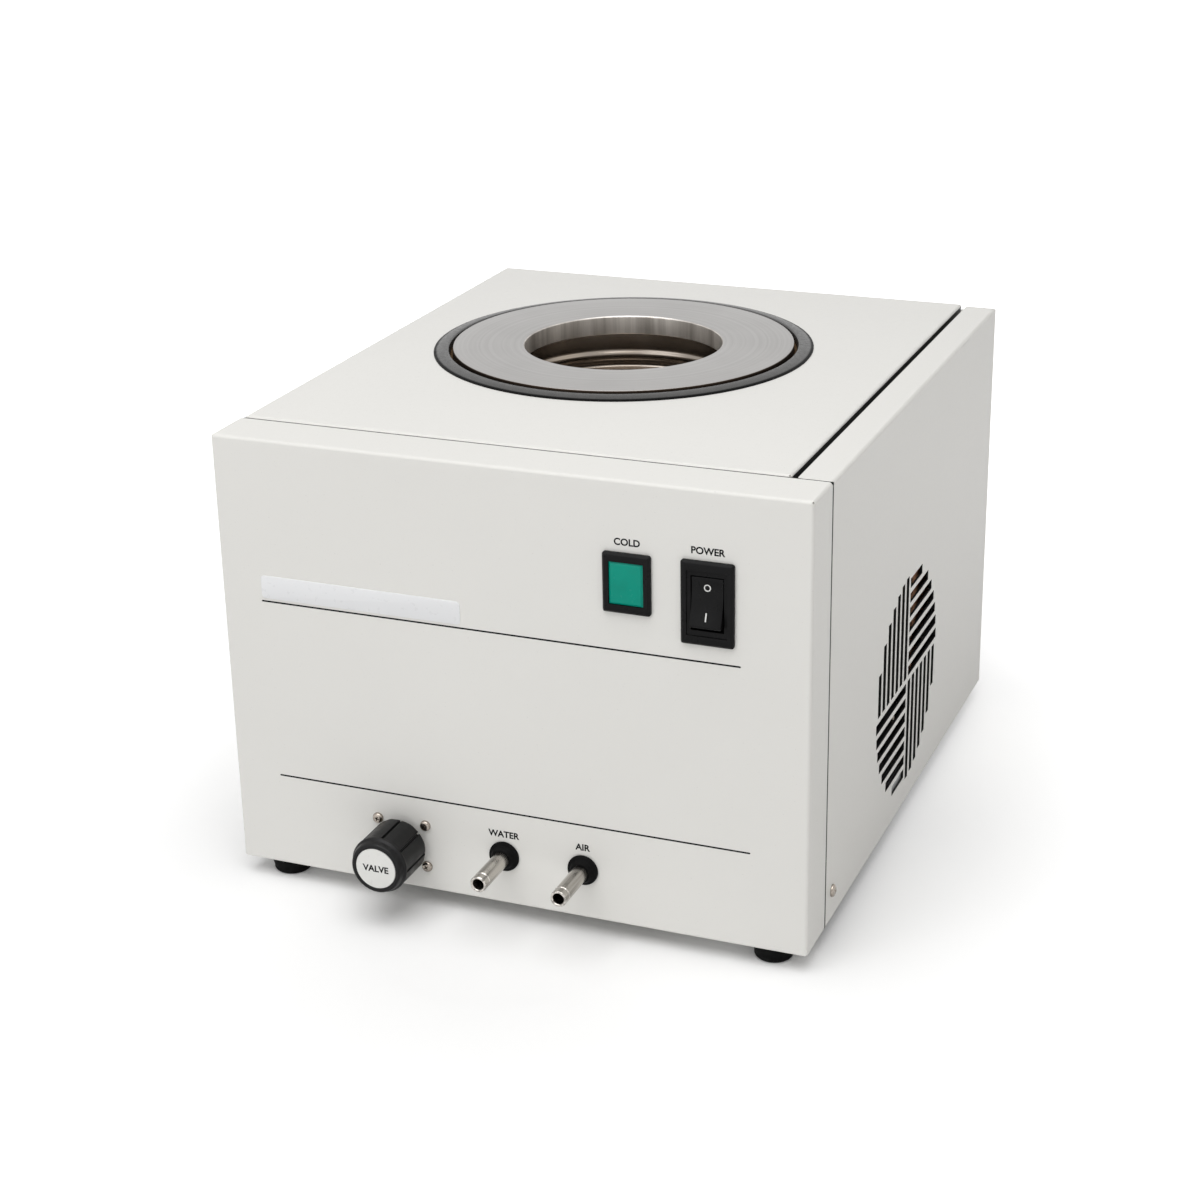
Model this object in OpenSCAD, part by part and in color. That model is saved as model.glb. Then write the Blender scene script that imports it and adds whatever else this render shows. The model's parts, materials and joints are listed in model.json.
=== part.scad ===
// Bench-top freeze dryer: a folded sheet cabinet round a refrigerated
// stainless chamber, with a drain valve and two hose spigots on the front.
// The cabinet stands on +Z, its front faces -Y and its fan grille faces +X.

/* [Cabinet] */
// Width over the front panel
cabinet_w = 360; // [352:1:372]
// Depth from the front face to the back
cabinet_d = 410; // [404:1:430]
// Height of the front panel, without the feet
cabinet_h = 271; // [266:1:285]
// Thickness of the sheet steel
sheet_t = 1.5; // [1.2:0.1:1.8]
// Outside radius of the folds
fold_r = 2.2; // [2:0.1:3]
// How far the front panel folds back round its four edges
lip_d = 33; // [31:1:38]
// Open joint between two panels
seam = 1.2; // [0.8:0.1:1.6]
// Width of the right side panel's top flange
flange_w = 20; // [16:1:24]
// Channel between the top cover and that flange
channel_w = 3.5; // [2.5:0.5:5]
// How far the top cover stands above the front panel
cover_proud = 1; // [0.5:0.1:1.5]
// How far the cover's side is set in from the front panel's
cover_inset = 3; // [2:0.5:4]

/* [Feet] */
// Diameter of a rubber foot
foot_d = 25; // [20:1:30]
// Height of a rubber foot
foot_h = 11; // [9:1:16]
// Foot centre from the cabinet's side
foot_in_x = 24.5; // [22:0.5:28]
// Foot centre from the cabinet's front or back
foot_in_y = 16; // [15.5:0.5:17.5]

/* [Chamber] */
// Chamber axis, left of the cabinet's middle
chamber_x = -21; // [-24:1:-18]
// Chamber axis, behind the front face
chamber_y = 242; // [240:1:246]
// Diameter of the mouth in the steel flange
mouth_d = 125.5; // [122:0.5:128]
// Diameter of the steel flange
disc_d = 216; // [213:1:218]
// Thickness of the steel flange
disc_t = 12.5; // [10:0.5:13]
// How far the flange stands above the cover
disc_proud = 3; // [2:0.5:5]
// Inside diameter of the chamber under the flange
vessel_d = 152; // [148:1:154]
// Depth from the flange's top to the chamber floor
vessel_depth = 100; // [96:1:102]
// Outside diameter of the rubber edging round the flange
trim_d = 240.5; // [238:0.5:246]

/* [Front controls] */
// Lamp centre, right of the middle
lamp_x = 75; // [70:1:78]
// Lamp centre, above the cabinet's bottom edge
lamp_z = 212.5; // [200:0.5:215]
// Lamp bezel, width and height
lamp_size = [28, 35];
// Mains switch centre, right of the middle
switch_x = 121.5; // [118:0.5:126]
// Mains switch centre, above the cabinet's bottom edge
switch_z = 206.7; // [195:0.1:212]
// Switch bezel, width and height
switch_size = [30.5, 48.5];
// Rocker tilt either side of level
rocker_tilt = 10; // [6:1:11]

/* [Drain valve] */
// Knob axis, left of the middle
knob_x = -70.5; // [-76:0.5:-66]
// Knob axis, above the cabinet's bottom edge
knob_z = 29; // [27:0.5:34]
// Diameter of the knob
knob_d = 35; // [32:0.5:37]
// Knob face, in front of the front panel
knob_out = 36; // [34:0.5:38]
// Grooves round the knob
knob_grooves = 8; // [6:1:12]
// Valve screws, spacing across and up
valve_pitch = [31, 27];

/* [Spigots] */
// Drain spigot, right of the middle
drain_x = -4.5; // [-8:0.5:0]
// Vacuum spigot, right of the middle
vacuum_x = 45; // [40:0.5:50]
// Both spigots, above the cabinet's bottom edge
spigot_z = 31.5; // [30:0.5:36]
// Outside diameter of a spigot
spigot_d = 10; // [9:0.5:11]
// Bore of a spigot
spigot_bore = 6.6; // [6.4:0.1:7]
// Spigot mouth, in front of the front panel
spigot_out = 37.5; // [37:0.5:42]

/* [Vent grille] */
// Grille centre, behind the front face
grille_y = 204; // [200:1:208]
// Grille centre, above the cabinet's bottom edge
grille_z = 86; // [84:1:90]
// Diameter of the grille
grille_d = 140; // [130:1:146]
// Slots in each quarter
grille_slots = 7; // [5:1:8]
// Share of the slot pitch that is open
grille_open = 0.67; // [0.5:0.01:0.72]

/* [Fan] */
// Side of the square fan frame
fan_size = 120; // [116:1:124]
// Number of blades
fan_blades = 7; // [5:1:9]

/* [Hidden] */
$fn = 48;

// Overlap that lets one cut pass cleanly through a face
cut = 1;
// Side clearance of a part that is only located, not fitted
slack = 0.3;
// Radial clearance of a part that turns or slides in another
running = 0.05;

// Screw heads stand this far off the back, which sets where the middle is
head_h = 2.2;
front_y = (spigot_out - cabinet_d - head_h) / 2;

// Panels
cover_z = cabinet_h + cover_proud;
cover_x0 = -cabinet_w / 2 + cover_inset;
cover_x1 = cabinet_w / 2 - flange_w - channel_w;
panel_y0 = lip_d + seam;
return_w = 12;
tray_wall = 26;
back_y = cabinet_d - sheet_t;

// Chamber stack, from the flange down
disc_top = cover_z + disc_proud;
disc_low = disc_top - disc_t;
seal_t = 1.5;
rim_top = disc_low - seal_t;
wall_t = 1.2;
floor_z = disc_top - vessel_depth;
vessel_r = vessel_d / 2;
ledge_z = disc_top - 38;
seam_z = ledge_z + 1.5;
weld_z = floor_z + 8;
lower_r = vessel_r - 6;
foam_r = disc_d / 2 + 2.2;
foam_floor = 24;
stand_z = floor_z - wall_t - foam_floor;
edging_r = trim_d / 2;
edging_in = foam_r + 0.3;
cover_hole_r = edging_in + 3.2;

// Refrigeration
coil_tube = 7;
coil_steps = 16;
coil_r = (lower_r + wall_t + coil_tube / 2 + 0.3) / cos(180 / coil_steps);
coil_pitch = 9.5;
coil_turns = 3.5;
coil_z0 = floor_z + 16;
coil_z1 = coil_z0 + coil_pitch * coil_turns;
coil_exit = 100;
tray_z = 2 * sheet_t;
comp_x = chamber_x;
comp_y = chamber_y + 16;
comp_r = 58;
comp_z = tray_z + 13;
comp_h = 118;
comp_hole = [66, 42];
comp_ports = [[20, comp_h / 2 + 14], [-20, comp_h / 2 - 20]];
fan_t = 25;
fan_r = fan_size / 2 - 4;
cond_x = 103;
cond_t = 28;
cond_half = 62;
cond_z0 = grille_z - cond_half;
cond_rows = 5;
cond_pitch = 2 * cond_half / cond_rows;
cond_tube = 8;
cond_cols = [cond_x + 7, cond_x + cond_t - 7];
drier_x = 150;
drier_y = 330;

// Pipes to the front
drain_port = [chamber_x, chamber_y - 50];
drain_tube = 8;
drain_run_z = stand_z - 16;
vacuum_port_z = disc_top - 21.5;
valve_port_y = 34;

// Spigots: the part inside the grommet is a little thinner
core_r = spigot_d / 2 - 0.2;
grommet_out = 5.2;

// Drain valve, along its axis from the front panel back
bonnet_t = 4;
seat_y = 20;
diaphragm_t = 2;
valve_r = 17;
valve_cavity = 12.3;
bush_r = 5;
spindle_r = 3;

// Mains inlet on the back
inlet_x = 110;
inlet_z = 60;

// Mains switch
pivot_y = 4;
rocker_w = 18;
rocker_tip = 14.3;
bezel_t = 3;

function unit(v) = v / norm(v);
function left(v) = [-v[1], v[0]];
function heading(path, i) = unit(path[i + 1] - path[i]);
// The path moved sideways by d, with mitred corners
function beside(path, d) =
    let (last = len(path) - 1)
    [for (i = [0 : last])
        let (a = left(heading(path, max(i - 1, 0))), b = left(heading(path, min(i, last - 1))),
             m = unit(a + b))
        path[i] + m * d / (m * a)];
function backwards(path) = [for (i = [len(path) - 1 : -1 : 0]) path[i]];
// A sheet of thickness t, one face on the path
function sheet(path, t) = concat(path, backwards(beside(path, t)));
// The path with its corners eased over r
function eased(path, r, steps = 4) =
    let (last = len(path) - 1)
    [for (i = [0 : last])
        each (i == 0 || i == last ? [path[i]] :
            let (a = path[i] - r * heading(path, i - 1), b = path[i] + r * heading(path, i))
            [for (k = [0 : steps])
                let (s = k / steps)
                (1 - s) * (1 - s) * a + 2 * s * (1 - s) * path[i] + s * s * b])];
function arc(c, r, a0, a1, steps = 6) =
    [for (k = [0 : steps]) let (a = a0 + (a1 - a0) * k / steps) c + r * [cos(a), sin(a)]];

module in_cabinet() {
    translate([0, front_y, foot_h]) children();
}

module at_chamber() {
    in_cabinet() translate([chamber_x, chamber_y, 0]) children();
}

// A child's +Z turned to face out of the front panel
module facing_front(x, y, z) {
    in_cabinet() translate([x, y, z]) rotate([90, 0, 0]) children();
}

module frame_of(x, y, z, at) {
    multmatrix([[x[0], y[0], z[0], at[0]], [x[1], y[1], z[1], at[1]],
                [x[2], y[2], z[2], at[2]], [0, 0, 0, 1]]) children();
}

// A child's +Z laid along u from a point
module along(at, u) {
    v = abs(u[2]) > 0.9 ? [1, 0, 0] : [0, 0, 1];
    x = unit(cross(v, u));
    frame_of(x, cross(u, x), u, at) children();
}

// Round bar through square turns, with true bends
module bent_bar(points, d, bend) {
    last = len(points) - 1;
    for (i = [0 : last - 1]) {
        u = unit(points[i + 1] - points[i]);
        a = points[i] + (i > 0 ? bend : 0) * u;
        b = points[i + 1] - (i < last - 1 ? bend : 0) * u;
        along(a, u) cylinder(h = norm(b - a), d = d);
    }
    for (i = [1 : 1 : last - 1]) {
        u = unit(points[i] - points[i - 1]);
        v = unit(points[i + 1] - points[i]);
        frame_of(-v, u, cross(u, v), points[i] - bend * u + bend * v)
            rotate_extrude(angle = 90) translate([bend, 0]) circle(d = d);
    }
}

module bent_tube(points, d, bore, bend) {
    difference() {
        bent_bar(points, d, bend);
        bent_bar(points, bore, bend);
    }
}

module rounded_rect(size, r) {
    square([size[0] - 2 * r, size[1]], center = true);
    square([size[0], size[1] - 2 * r], center = true);
    for (sx = [-1, 1], sy = [-1, 1])
        translate([sx * (size[0] / 2 - r), sy * (size[1] / 2 - r)]) circle(r);
}

// A box between two corners, rounded along all its edges
module eased_box(lo, hi, r) {
    size = hi - lo;
    translate((lo + hi) / 2) intersection() {
        linear_extrude(height = size[2], center = true) rounded_rect([size[0], size[1]], r);
        rotate([90, 0, 0]) linear_extrude(height = size[1], center = true)
            rounded_rect([size[0], size[2]], r);
        rotate([90, 0, 90]) linear_extrude(height = size[0], center = true)
            rounded_rect([size[1], size[2]], r);
    }
}

// Sheet folded round a box: the panels are cut out of it
module folded_box(lo, hi) {
    t = sheet_t * [1, 1, 1];
    difference() {
        eased_box(lo, hi, fold_r);
        eased_box(lo + t, hi - t, fold_r - sheet_t);
    }
}

module box(lo, hi) {
    translate(lo) cube(hi - lo);
}

// The small round relief where three folds meet
module corner_relief(at, towards) {
    along(at - 3 * unit(towards), unit(towards)) cylinder(h = 6, d = 1.3);
}

// Pan-head machine screw with a cross recess, head on +Z
module pan_screw(d, head_d, length) {
    difference() {
        union() {
            rotate_extrude() polygon(concat([[0, 0], [head_d / 2, 0], [head_d / 2, head_h * 0.35]],
                arc([head_d / 2 - head_h * 0.65, head_h * 0.35], head_h * 0.65, 15, 90),
                [[0, head_h]]));
            translate([0, 0, -length]) cylinder(h = length, d = d);
        }
        for (turn = [0, 90])
            rotate(turn) translate([-head_d / 4, -0.5, head_h - 1.3]) cube([head_d / 2, 1, 2]);
    }
}

module hex_nut(d, across, h) {
    difference() {
        cylinder(h = h, d = across / cos(30), $fn = 6);
        translate([0, 0, -cut]) cylinder(h = h + 2 * cut, d = d);
    }
}

// Where things are fastened
foot_points = [for (y = [foot_in_y, back_y - foot_in_y], x = [-1, 1])
    [x * (cabinet_w / 2 - foot_in_x), y]];
valve_points = [for (sx = [-1, 1], sz = [-1, 1])
    [knob_x + sx * valve_pitch[0] / 2, knob_z + sz * valve_pitch[1] / 2]];
side_screw = [lip_d + 14, 19];
rear_screw_x = [cover_x0 + 40, (cover_x0 + cover_x1) / 2, cover_x1 - 40];
comp_points = [for (sx = [-1, 1], sy = [-1, 1])
    [comp_x + sx * comp_hole[0], comp_y + sy * comp_hole[1]]];
fan_points = [for (sy = [-1, 1], sz = [-1, 1])
    [grille_y + sy * (fan_size / 2 - 7.5), grille_z + sz * (fan_size / 2 - 7.5)]];

// ---- Cabinet ----

// Tray with a weld nut over each foot
module base_tray() {
    lo = [cover_x0 + sheet_t, sheet_t + slack, sheet_t];
    hi = [cabinet_w / 2 - sheet_t, back_y - sheet_t, 90];
    color("gainsboro") in_cabinet() union() {
        difference() {
            folded_box(lo, hi);
            box([lo[0] - cut, lo[1] - cut, sheet_t + tray_wall], hi + cut * [1, 1, 1]);
            box([lo[0] - cut, lo[1] - cut, lo[2] - cut], [hi[0] + cut, lo[1] + fold_r, hi[2]]);
            for (p = foot_points) translate([p[0], p[1], 0]) cylinder(h = 10, d = 4.4);
            for (p = comp_points) translate([p[0], p[1], 0]) cylinder(h = 10, d = 6.4);
            translate([-cabinet_w / 2, side_screw[0], side_screw[1]]) rotate([0, 90, 0])
                cylinder(h = cabinet_w, d = 4);
            for (row = [0, 1], i = [0 : 6])
                translate([comp_x - 42 + 14 * i, comp_y - 18 + 36 * row, 0])
                    linear_extrude(height = 10) rounded_rect([5, 28], 2.4);
        }
        for (p = foot_points) translate([p[0], p[1], tray_z - 0.3]) hex_nut(4.1, 7, 3.5);
    }
}

module front_panel() {
    color("whitesmoke") in_cabinet() difference() {
        folded_box([-cabinet_w / 2, 0, 0], [cabinet_w / 2, 2 * lip_d, cabinet_h]);
        box([-cabinet_w, lip_d, -cut], [cabinet_w, 3 * lip_d, cabinet_h + cut]);
        box([lamp_x - lamp_size[0] / 2 + 3, -cut, lamp_z - lamp_size[1] / 2 + 3],
            [lamp_x + lamp_size[0] / 2 - 3, 9, lamp_z + lamp_size[1] / 2 - 3]);
        box([switch_x - switch_size[0] / 2 + 2, -cut, switch_z - switch_size[1] / 2 + 3],
            [switch_x + switch_size[0] / 2 - 2, 9, switch_z + switch_size[1] / 2 - 3]);
        translate([knob_x, 9, knob_z]) rotate([90, 0, 0]) cylinder(h = 18, r = 8.2);
        for (p = valve_points) translate([p[0], 9, p[1]]) rotate([90, 0, 0]) cylinder(h = 18, d = 3.4);
        for (x = [drain_x, vacuum_x])
            translate([x, 9, spigot_z]) rotate([90, 0, 0]) cylinder(h = 18, r = spigot_d / 2 + 2);
        for (p = foot_points) translate([p[0], p[1], -cut]) cylinder(h = 5, d = 4.4);
        for (sx = [-1, 1], z = [0, cabinet_h])
            corner_relief([sx * cabinet_w / 2, 0, z], [sx, -1, z > 0 ? 1 : -1]);
    }
}

module top_cover() {
    lo = [cover_x0, panel_y0, -90];
    hi = [cover_x1, cabinet_d, cover_z];
    color("white") in_cabinet() difference() {
        folded_box(lo, hi);
        box([cover_x0 + return_w, lo[1] - cut, lo[2] - cut],
            [hi[0] + cut, hi[1] + cut, cover_z - return_w]);
        box([cover_x0 + sheet_t, lo[1] - cut, lo[2] - cut],
            [hi[0], hi[1] + cut, tray_wall + 2 * sheet_t]);
        box(lo - cut * [1, 1, 1], [hi[0], hi[1] + cut, sheet_t]);
        translate([chamber_x, chamber_y, cover_z - 9]) cylinder(h = 18, r = cover_hole_r);
        translate([cover_x0 - cut, side_screw[0], side_screw[1]]) rotate([0, 90, 0])
            cylinder(h = 6, d = 4.2);
        for (x = rear_screw_x) translate([x, cabinet_d + cut, cover_z - 7]) rotate([90, 0, 0])
            cylinder(h = 6, d = 4.2);
        for (x = [lo[0], hi[0]])
            corner_relief([x, lo[1], cover_z], [x == lo[0] ? -1 : 1, -1, 1]);
    }
}

// Four quarters of slots that turn about the middle, square at their ends
module grille_slots() {
    r = grille_d / 2;
    bar = r / grille_slots * (1 - grille_open);
    pitch = (r - bar / 2) / grille_slots;
    slot = pitch * grille_open;
    for (quarter = [0 : 3], i = [0 : grille_slots - 1]) {
        off = bar / 2 + i * pitch;
        reach = sqrt(r * r - pow(off + slot / 2, 2));
        rotate(90 * quarter) translate([bar / 2, off]) square([reach - bar / 2, slot]);
    }
}

module right_side_panel() {
    x1 = cabinet_w / 2;
    lo = [x1 - 2 * flange_w, panel_y0, -90];
    hi = [x1, cabinet_d, cabinet_h];
    color("whitesmoke") in_cabinet() difference() {
        folded_box(lo, hi);
        box(lo - cut * [1, 1, 1], [x1 - flange_w, hi[1] + cut, hi[2] + cut]);
        box(lo - cut * [1, 1, 1], [x1 - return_w, hi[1] + cut, cabinet_h - return_w]);
        box(lo - cut * [1, 1, 1], [x1 - sheet_t, hi[1] + cut, tray_wall + 2 * sheet_t]);
        box(lo - cut * [1, 1, 1], [x1 + cut, hi[1] + cut, sheet_t]);
        translate([x1 - 5, grille_y, grille_z]) rotate([90, 0, 90])
            linear_extrude(height = 10) grille_slots();
        translate([x1 - 5, side_screw[0], side_screw[1]]) rotate([0, 90, 0]) cylinder(h = 10, d = 4.2);
        for (z = [70, 170]) translate([x1 - 7, cabinet_d + cut, z]) rotate([90, 0, 0])
            cylinder(h = 6, d = 4.2);
        corner_relief([x1, lo[1], cabinet_h], [1, -1, 1]);
    }
}

module rear_panel() {
    x0 = cover_x0 + fold_r;
    x1 = cabinet_w / 2 - fold_r;
    top = cabinet_h - fold_r;
    color("whitesmoke") in_cabinet() difference() {
        translate([x0, 0, 0]) rotate([90, 0, 90]) linear_extrude(height = x1 - x0)
            polygon(sheet(eased([[back_y - lip_d, 0], [back_y, 0], [back_y, top]], fold_r), sheet_t));
        box([cover_x1 - sheet_t - slack, back_y - sheet_t - cut, cover_z - return_w - slack],
            [cover_x1 + slack, back_y + cut, cover_z]);
        for (p = foot_points) translate([p[0], p[1], -cut]) cylinder(h = 5, d = 4.4);
        for (x = rear_screw_x) translate([x, back_y + cut, cover_z - 7]) rotate([90, 0, 0])
            cylinder(h = 6, d = 3.4);
        for (z = [70, 170]) translate([cabinet_w / 2 - 7, back_y + cut, z]) rotate([90, 0, 0])
            cylinder(h = 6, d = 3.4);
        for (row = [0, 1], i = [0 : 10])
            translate([-130 + 12 * i, back_y + cut, 90 + 62 * row]) rotate([90, 0, 0])
                linear_extrude(height = 6) rounded_rect([5, 46], 2.4);
        box([inlet_x - 14, back_y - 9, inlet_z - 10.5], [inlet_x + 14, back_y + cut, inlet_z + 10.5]);
        for (s = [-1, 1]) translate([inlet_x + 20 * s, back_y + cut, inlet_z]) rotate([90, 0, 0])
            cylinder(h = 6, d = 3.4);
    }
}

// Stepped rail under the open channel, that joins the cover to the side panel
module cover_rail() {
    low = cover_z - return_w - sheet_t;
    x = cabinet_w / 2 - flange_w;
    path = [[cover_x1 - 12, low], [x + 4, low], [x + 4, cabinet_h - 2 * sheet_t],
            [x + 16, cabinet_h - 2 * sheet_t]];
    color("gainsboro") in_cabinet() translate([0, back_y - sheet_t - 4, 0]) rotate([90, 0, 0])
        linear_extrude(height = back_y - sheet_t - 8 - panel_y0)
            polygon(sheet(path, sheet_t));
}

module foot() {
    r = foot_d / 2;
    low = -foot_h;
    rotate_extrude() difference() {
        polygon(concat([[2.2, 0], [r, 0], [r - 0.2, low * 0.4]],
            arc([r - 3.6, low + 2.6], 2.6, 20, -90), [[2.2, low]]));
        translate([0, low - cut]) square([4.6, foot_h * 0.5 + cut]);
    }
}

module foot_at(i) {
    color("black") in_cabinet() translate([foot_points[i][0], foot_points[i][1], 0]) foot();
}

module foot_front_left() { foot_at(0); }
module foot_front_right() { foot_at(1); }
module foot_rear_left() { foot_at(2); }
module foot_rear_right() { foot_at(3); }

module foot_screws() {
    color("silver") in_cabinet() for (p = foot_points)
        translate([p[0], p[1], -foot_h * 0.5]) rotate([180, 0, 0])
            pan_screw(4, 8, foot_h * 0.5 + tray_z + 5);
}

module cover_screws() {
    color("silver") in_cabinet() {
        translate([cabinet_w / 2, side_screw[0], side_screw[1]]) rotate([0, 90, 0])
            pan_screw(3.9, 7.6, 6);
        translate([cover_x0, side_screw[0], side_screw[1]]) rotate([0, -90, 0])
            pan_screw(3.9, 7.6, 6);
        for (x = rear_screw_x) translate([x, cabinet_d, cover_z - 7]) rotate([-90, 0, 0])
            pan_screw(3.3, 7, 8);
        for (z = [70, 170]) translate([cabinet_w / 2 - 7, cabinet_d, z]) rotate([-90, 0, 0])
            pan_screw(3.3, 7, 8);
    }
}

// ---- Chamber ----

module chamber_flange() {
    r0 = mouth_d / 2;
    r1 = disc_d / 2;
    color("silver") at_chamber() difference() {
        rotate_extrude() polygon([[r0, disc_low + 0.6], [r0 + 0.6, disc_low], [r1 - 0.4, disc_low],
            [r1, disc_low + 0.4], [r1, disc_top - 0.8], [r1 - 0.8, disc_top],
            [r0 + 0.8, disc_top], [r0, disc_top - 0.8]]);
        translate([0, 0, disc_low - cut]) difference() {
            cylinder(h = cut + 0.8, r = vessel_r + 14);
            translate([0, 0, -cut]) cylinder(h = 3 * cut, r = vessel_r + 4);
        }
    }
}

module flange_seal() {
    color("dimgray") at_chamber() translate([0, 0, rim_top]) difference() {
        union() {
            cylinder(h = seal_t, r = vessel_r + 18);
            cylinder(h = seal_t + 0.7, r = vessel_r + 13.8);
        }
        translate([0, 0, -cut]) cylinder(h = seal_t + 3 * cut, r = vessel_r + 0.2);
        translate([0, 0, seal_t]) cylinder(h = 2 * cut, r = vessel_r + 4.2);
    }
}

// Rolled collar under the flange: rim, bead and vacuum port, down to the seam with the tube
module chamber_collar() {
    bead_z = disc_top - 31;
    inside = eased([[vessel_r + 18, rim_top], [vessel_r, rim_top], [vessel_r, bead_z + 4],
        [vessel_r - 1.3, bead_z + 1.6], [vessel_r - 1.3, bead_z - 1.6], [vessel_r, bead_z - 4],
        [vessel_r, seam_z]], 1.2, 3);
    color("silver") at_chamber() difference() {
        rotate_extrude() polygon(sheet(inside, wall_t));
        translate([0, 0, vacuum_port_z]) rotate([0, 90, 0])
            cylinder(h = vessel_r + 9, r = spigot_d / 2 + 0.05);
    }
}

// Tube, necked in at its ledge and butt-welded at both ends
module chamber_vessel() {
    inside = eased([[vessel_r, seam_z], [vessel_r, ledge_z], [lower_r, ledge_z - 3],
        [lower_r, weld_z]], 1.2, 3);
    color("silver") at_chamber() rotate_extrude() polygon(sheet(inside, wall_t));
}

// Dished end, butt-welded to the tube, with the drain hole
module chamber_floor() {
    inside = eased([[lower_r, weld_z], [lower_r, weld_z - 2], [lower_r - 10, floor_z + 1],
        [lower_r - 18, floor_z], [0, floor_z]], 1.2, 3);
    color("silver") at_chamber() difference() {
        rotate_extrude() polygon(sheet(inside, wall_t));
        translate([drain_port[0] - chamber_x, drain_port[1] - chamber_y, floor_z - 9])
            cylinder(h = 18, r = drain_tube / 2 + 0.05);
    }
}

// Moulded rubber edging: domed lip, web through the cover and a lip under it
module trim_ring() {
    low = cover_z - sheet_t;
    color("dimgray") at_chamber() rotate_extrude() polygon(concat(
        [[edging_in, low - 3.5], [edging_in + 6, low - 3.5], [edging_in + 6, low],
         [cover_hole_r - 0.2, low], [cover_hole_r - 0.2, cover_z], [edging_r, cover_z],
         [edging_r, cover_z + 0.5]],
        [for (s = [0.15 : 0.17 : 1]) let (w = edging_r - edging_in - 1)
            [edging_r - w * s, cover_z + 0.5 + 1.7 * sin(90 * s)]],
        [[edging_in + 0.5, cover_z + 2], [edging_in, cover_z + 1.4]]));
}

module insulation_jacket() {
    step_z = ledge_z - 1;
    color("saddlebrown") at_chamber() difference() {
        rotate_extrude() polygon([[0, stand_z], [foam_r, stand_z], [foam_r, cover_z - 3],
            [disc_d / 2 + 0.4, cover_z - 3], [disc_d / 2 + 0.4, disc_low],
            [vessel_r + 18.3, disc_low], [vessel_r + 18.3, rim_top - wall_t],
            [vessel_r + wall_t + 0.3, rim_top - wall_t], [vessel_r + wall_t + 0.3, step_z],
            [coil_r + coil_tube / 2 + 0.4, step_z], [coil_r + coil_tube / 2 + 0.4, floor_z - wall_t],
            [0, floor_z - wall_t]]);
        for (side = [1, -1])
            translate([side * coil_r, 0, side > 0 ? coil_z0 : coil_z1]) rotate([-90, 0, 0])
                cylinder(h = foam_r + 9, r = coil_tube / 2 + 0.5);
        translate([0, 0, vacuum_port_z]) rotate([0, 90, 0])
            cylinder(h = foam_r + 9, r = spigot_d / 2 + 0.3);
        translate([drain_port[0] - chamber_x, drain_port[1] - chamber_y, stand_z - 9])
            cylinder(h = foam_floor + 18, r = drain_tube / 2 + 0.3);
    }
}

// Round tube swept along points that stay near level
module swept_tube(points, d, sides = 8) {
    last = len(points) - 1;
    rings = [for (i = [0 : last])
        let (t = unit(points[min(i + 1, last)] - points[max(i - 1, 0)]),
             s = unit(cross(t, [0, 0, 1])), w = cross(s, t))
        for (k = [0 : sides - 1])
            points[i] + d / 2 * (cos(360 * k / sides) * s + sin(360 * k / sides) * w)];
    skin = [for (i = [0 : last - 1], k = [0 : sides - 1])
        let (n = (k + 1) % sides)
        [i * sides + k, i * sides + n, (i + 1) * sides + n, (i + 1) * sides + k]];
    polyhedron(rings, concat([[for (k = [sides - 1 : -1 : 0]) k]], skin,
        [[for (k = [0 : sides - 1]) last * sides + k]]), convexity = 10);
}

module evaporator_coil() {
    turns = [for (k = [0 : coil_steps * coil_turns])
        let (a = -360 * k / coil_steps)
        [coil_r * cos(a), coil_r * sin(a), coil_z0 + coil_pitch * k / coil_steps]];
    color("peru") at_chamber() swept_tube(concat([[coil_r, coil_exit, coil_z0]], turns,
        [[-coil_r, coil_exit, coil_z1]]), coil_tube);
}

// Bridge that carries the chamber over the compressor
module chamber_stand() {
    x0 = -140;
    x1 = 98;
    y0 = 146;
    y1 = 340;
    foot_w = 14;
    path = eased([[x0 - foot_w, tray_z], [x0, tray_z], [x0, stand_z - sheet_t],
        [x1, stand_z - sheet_t], [x1, tray_z + sheet_t], [x1 - foot_w, tray_z + sheet_t]], 2, 2);
    color("gainsboro") in_cabinet() difference() {
        translate([0, y1, 0]) rotate([90, 0, 0]) linear_extrude(height = y1 - y0)
            polygon(sheet(path, sheet_t));
        translate([drain_port[0], drain_port[1], stand_z - 9]) cylinder(h = 18, d = drain_tube + 6);
    }
}

module drain_pipe() {
    x = drain_port[0];
    color("peru") in_cabinet() bent_tube([[x, drain_port[1], floor_z - 0.2], [x, drain_port[1], drain_run_z],
        [x, 86, drain_run_z], [x, 86, 72], [knob_x, 86, 72], [knob_x, valve_port_y, 72],
        [knob_x, valve_port_y, knob_z + valve_r + 5]], drain_tube, drain_tube - 2, 12);
}

module vacuum_pipe() {
    x = 90;
    wall = sqrt(pow(vessel_r + wall_t, 2) - pow(spigot_d / 2, 2));
    color("silver") in_cabinet() bent_tube([[chamber_x + wall - wall_t, chamber_y, vacuum_port_z],
        [x + 12, chamber_y, vacuum_port_z], [x + 12, 60, vacuum_port_z], [x + 12, 60, spigot_z],
        [vacuum_x, 60, spigot_z], [vacuum_x, 22, spigot_z]], spigot_d, spigot_bore, 14);
}

// ---- Spigots ----

// Nickel-plated tube with a turned ring behind its mouth
module spigot(x) {
    r = spigot_d / 2;
    y1 = spigot_out;
    color("silver") facing_front(x, 0, spigot_z) rotate_extrude() polygon(concat(
        [[spigot_bore / 2, -22], [core_r, -22], [core_r, grommet_out + 0.2], [r, grommet_out + 0.2],
         [r, y1 - 6], [r - 0.5, y1 - 5.6], [r - 0.5, y1 - 5], [r, y1 - 4.6]],
        arc([r - 0.8, y1 - 0.8], 0.8, 0, 90, 3),
        [[spigot_bore / 2 + 0.5, y1], [spigot_bore / 2, y1 - 0.5]]));
}

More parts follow.
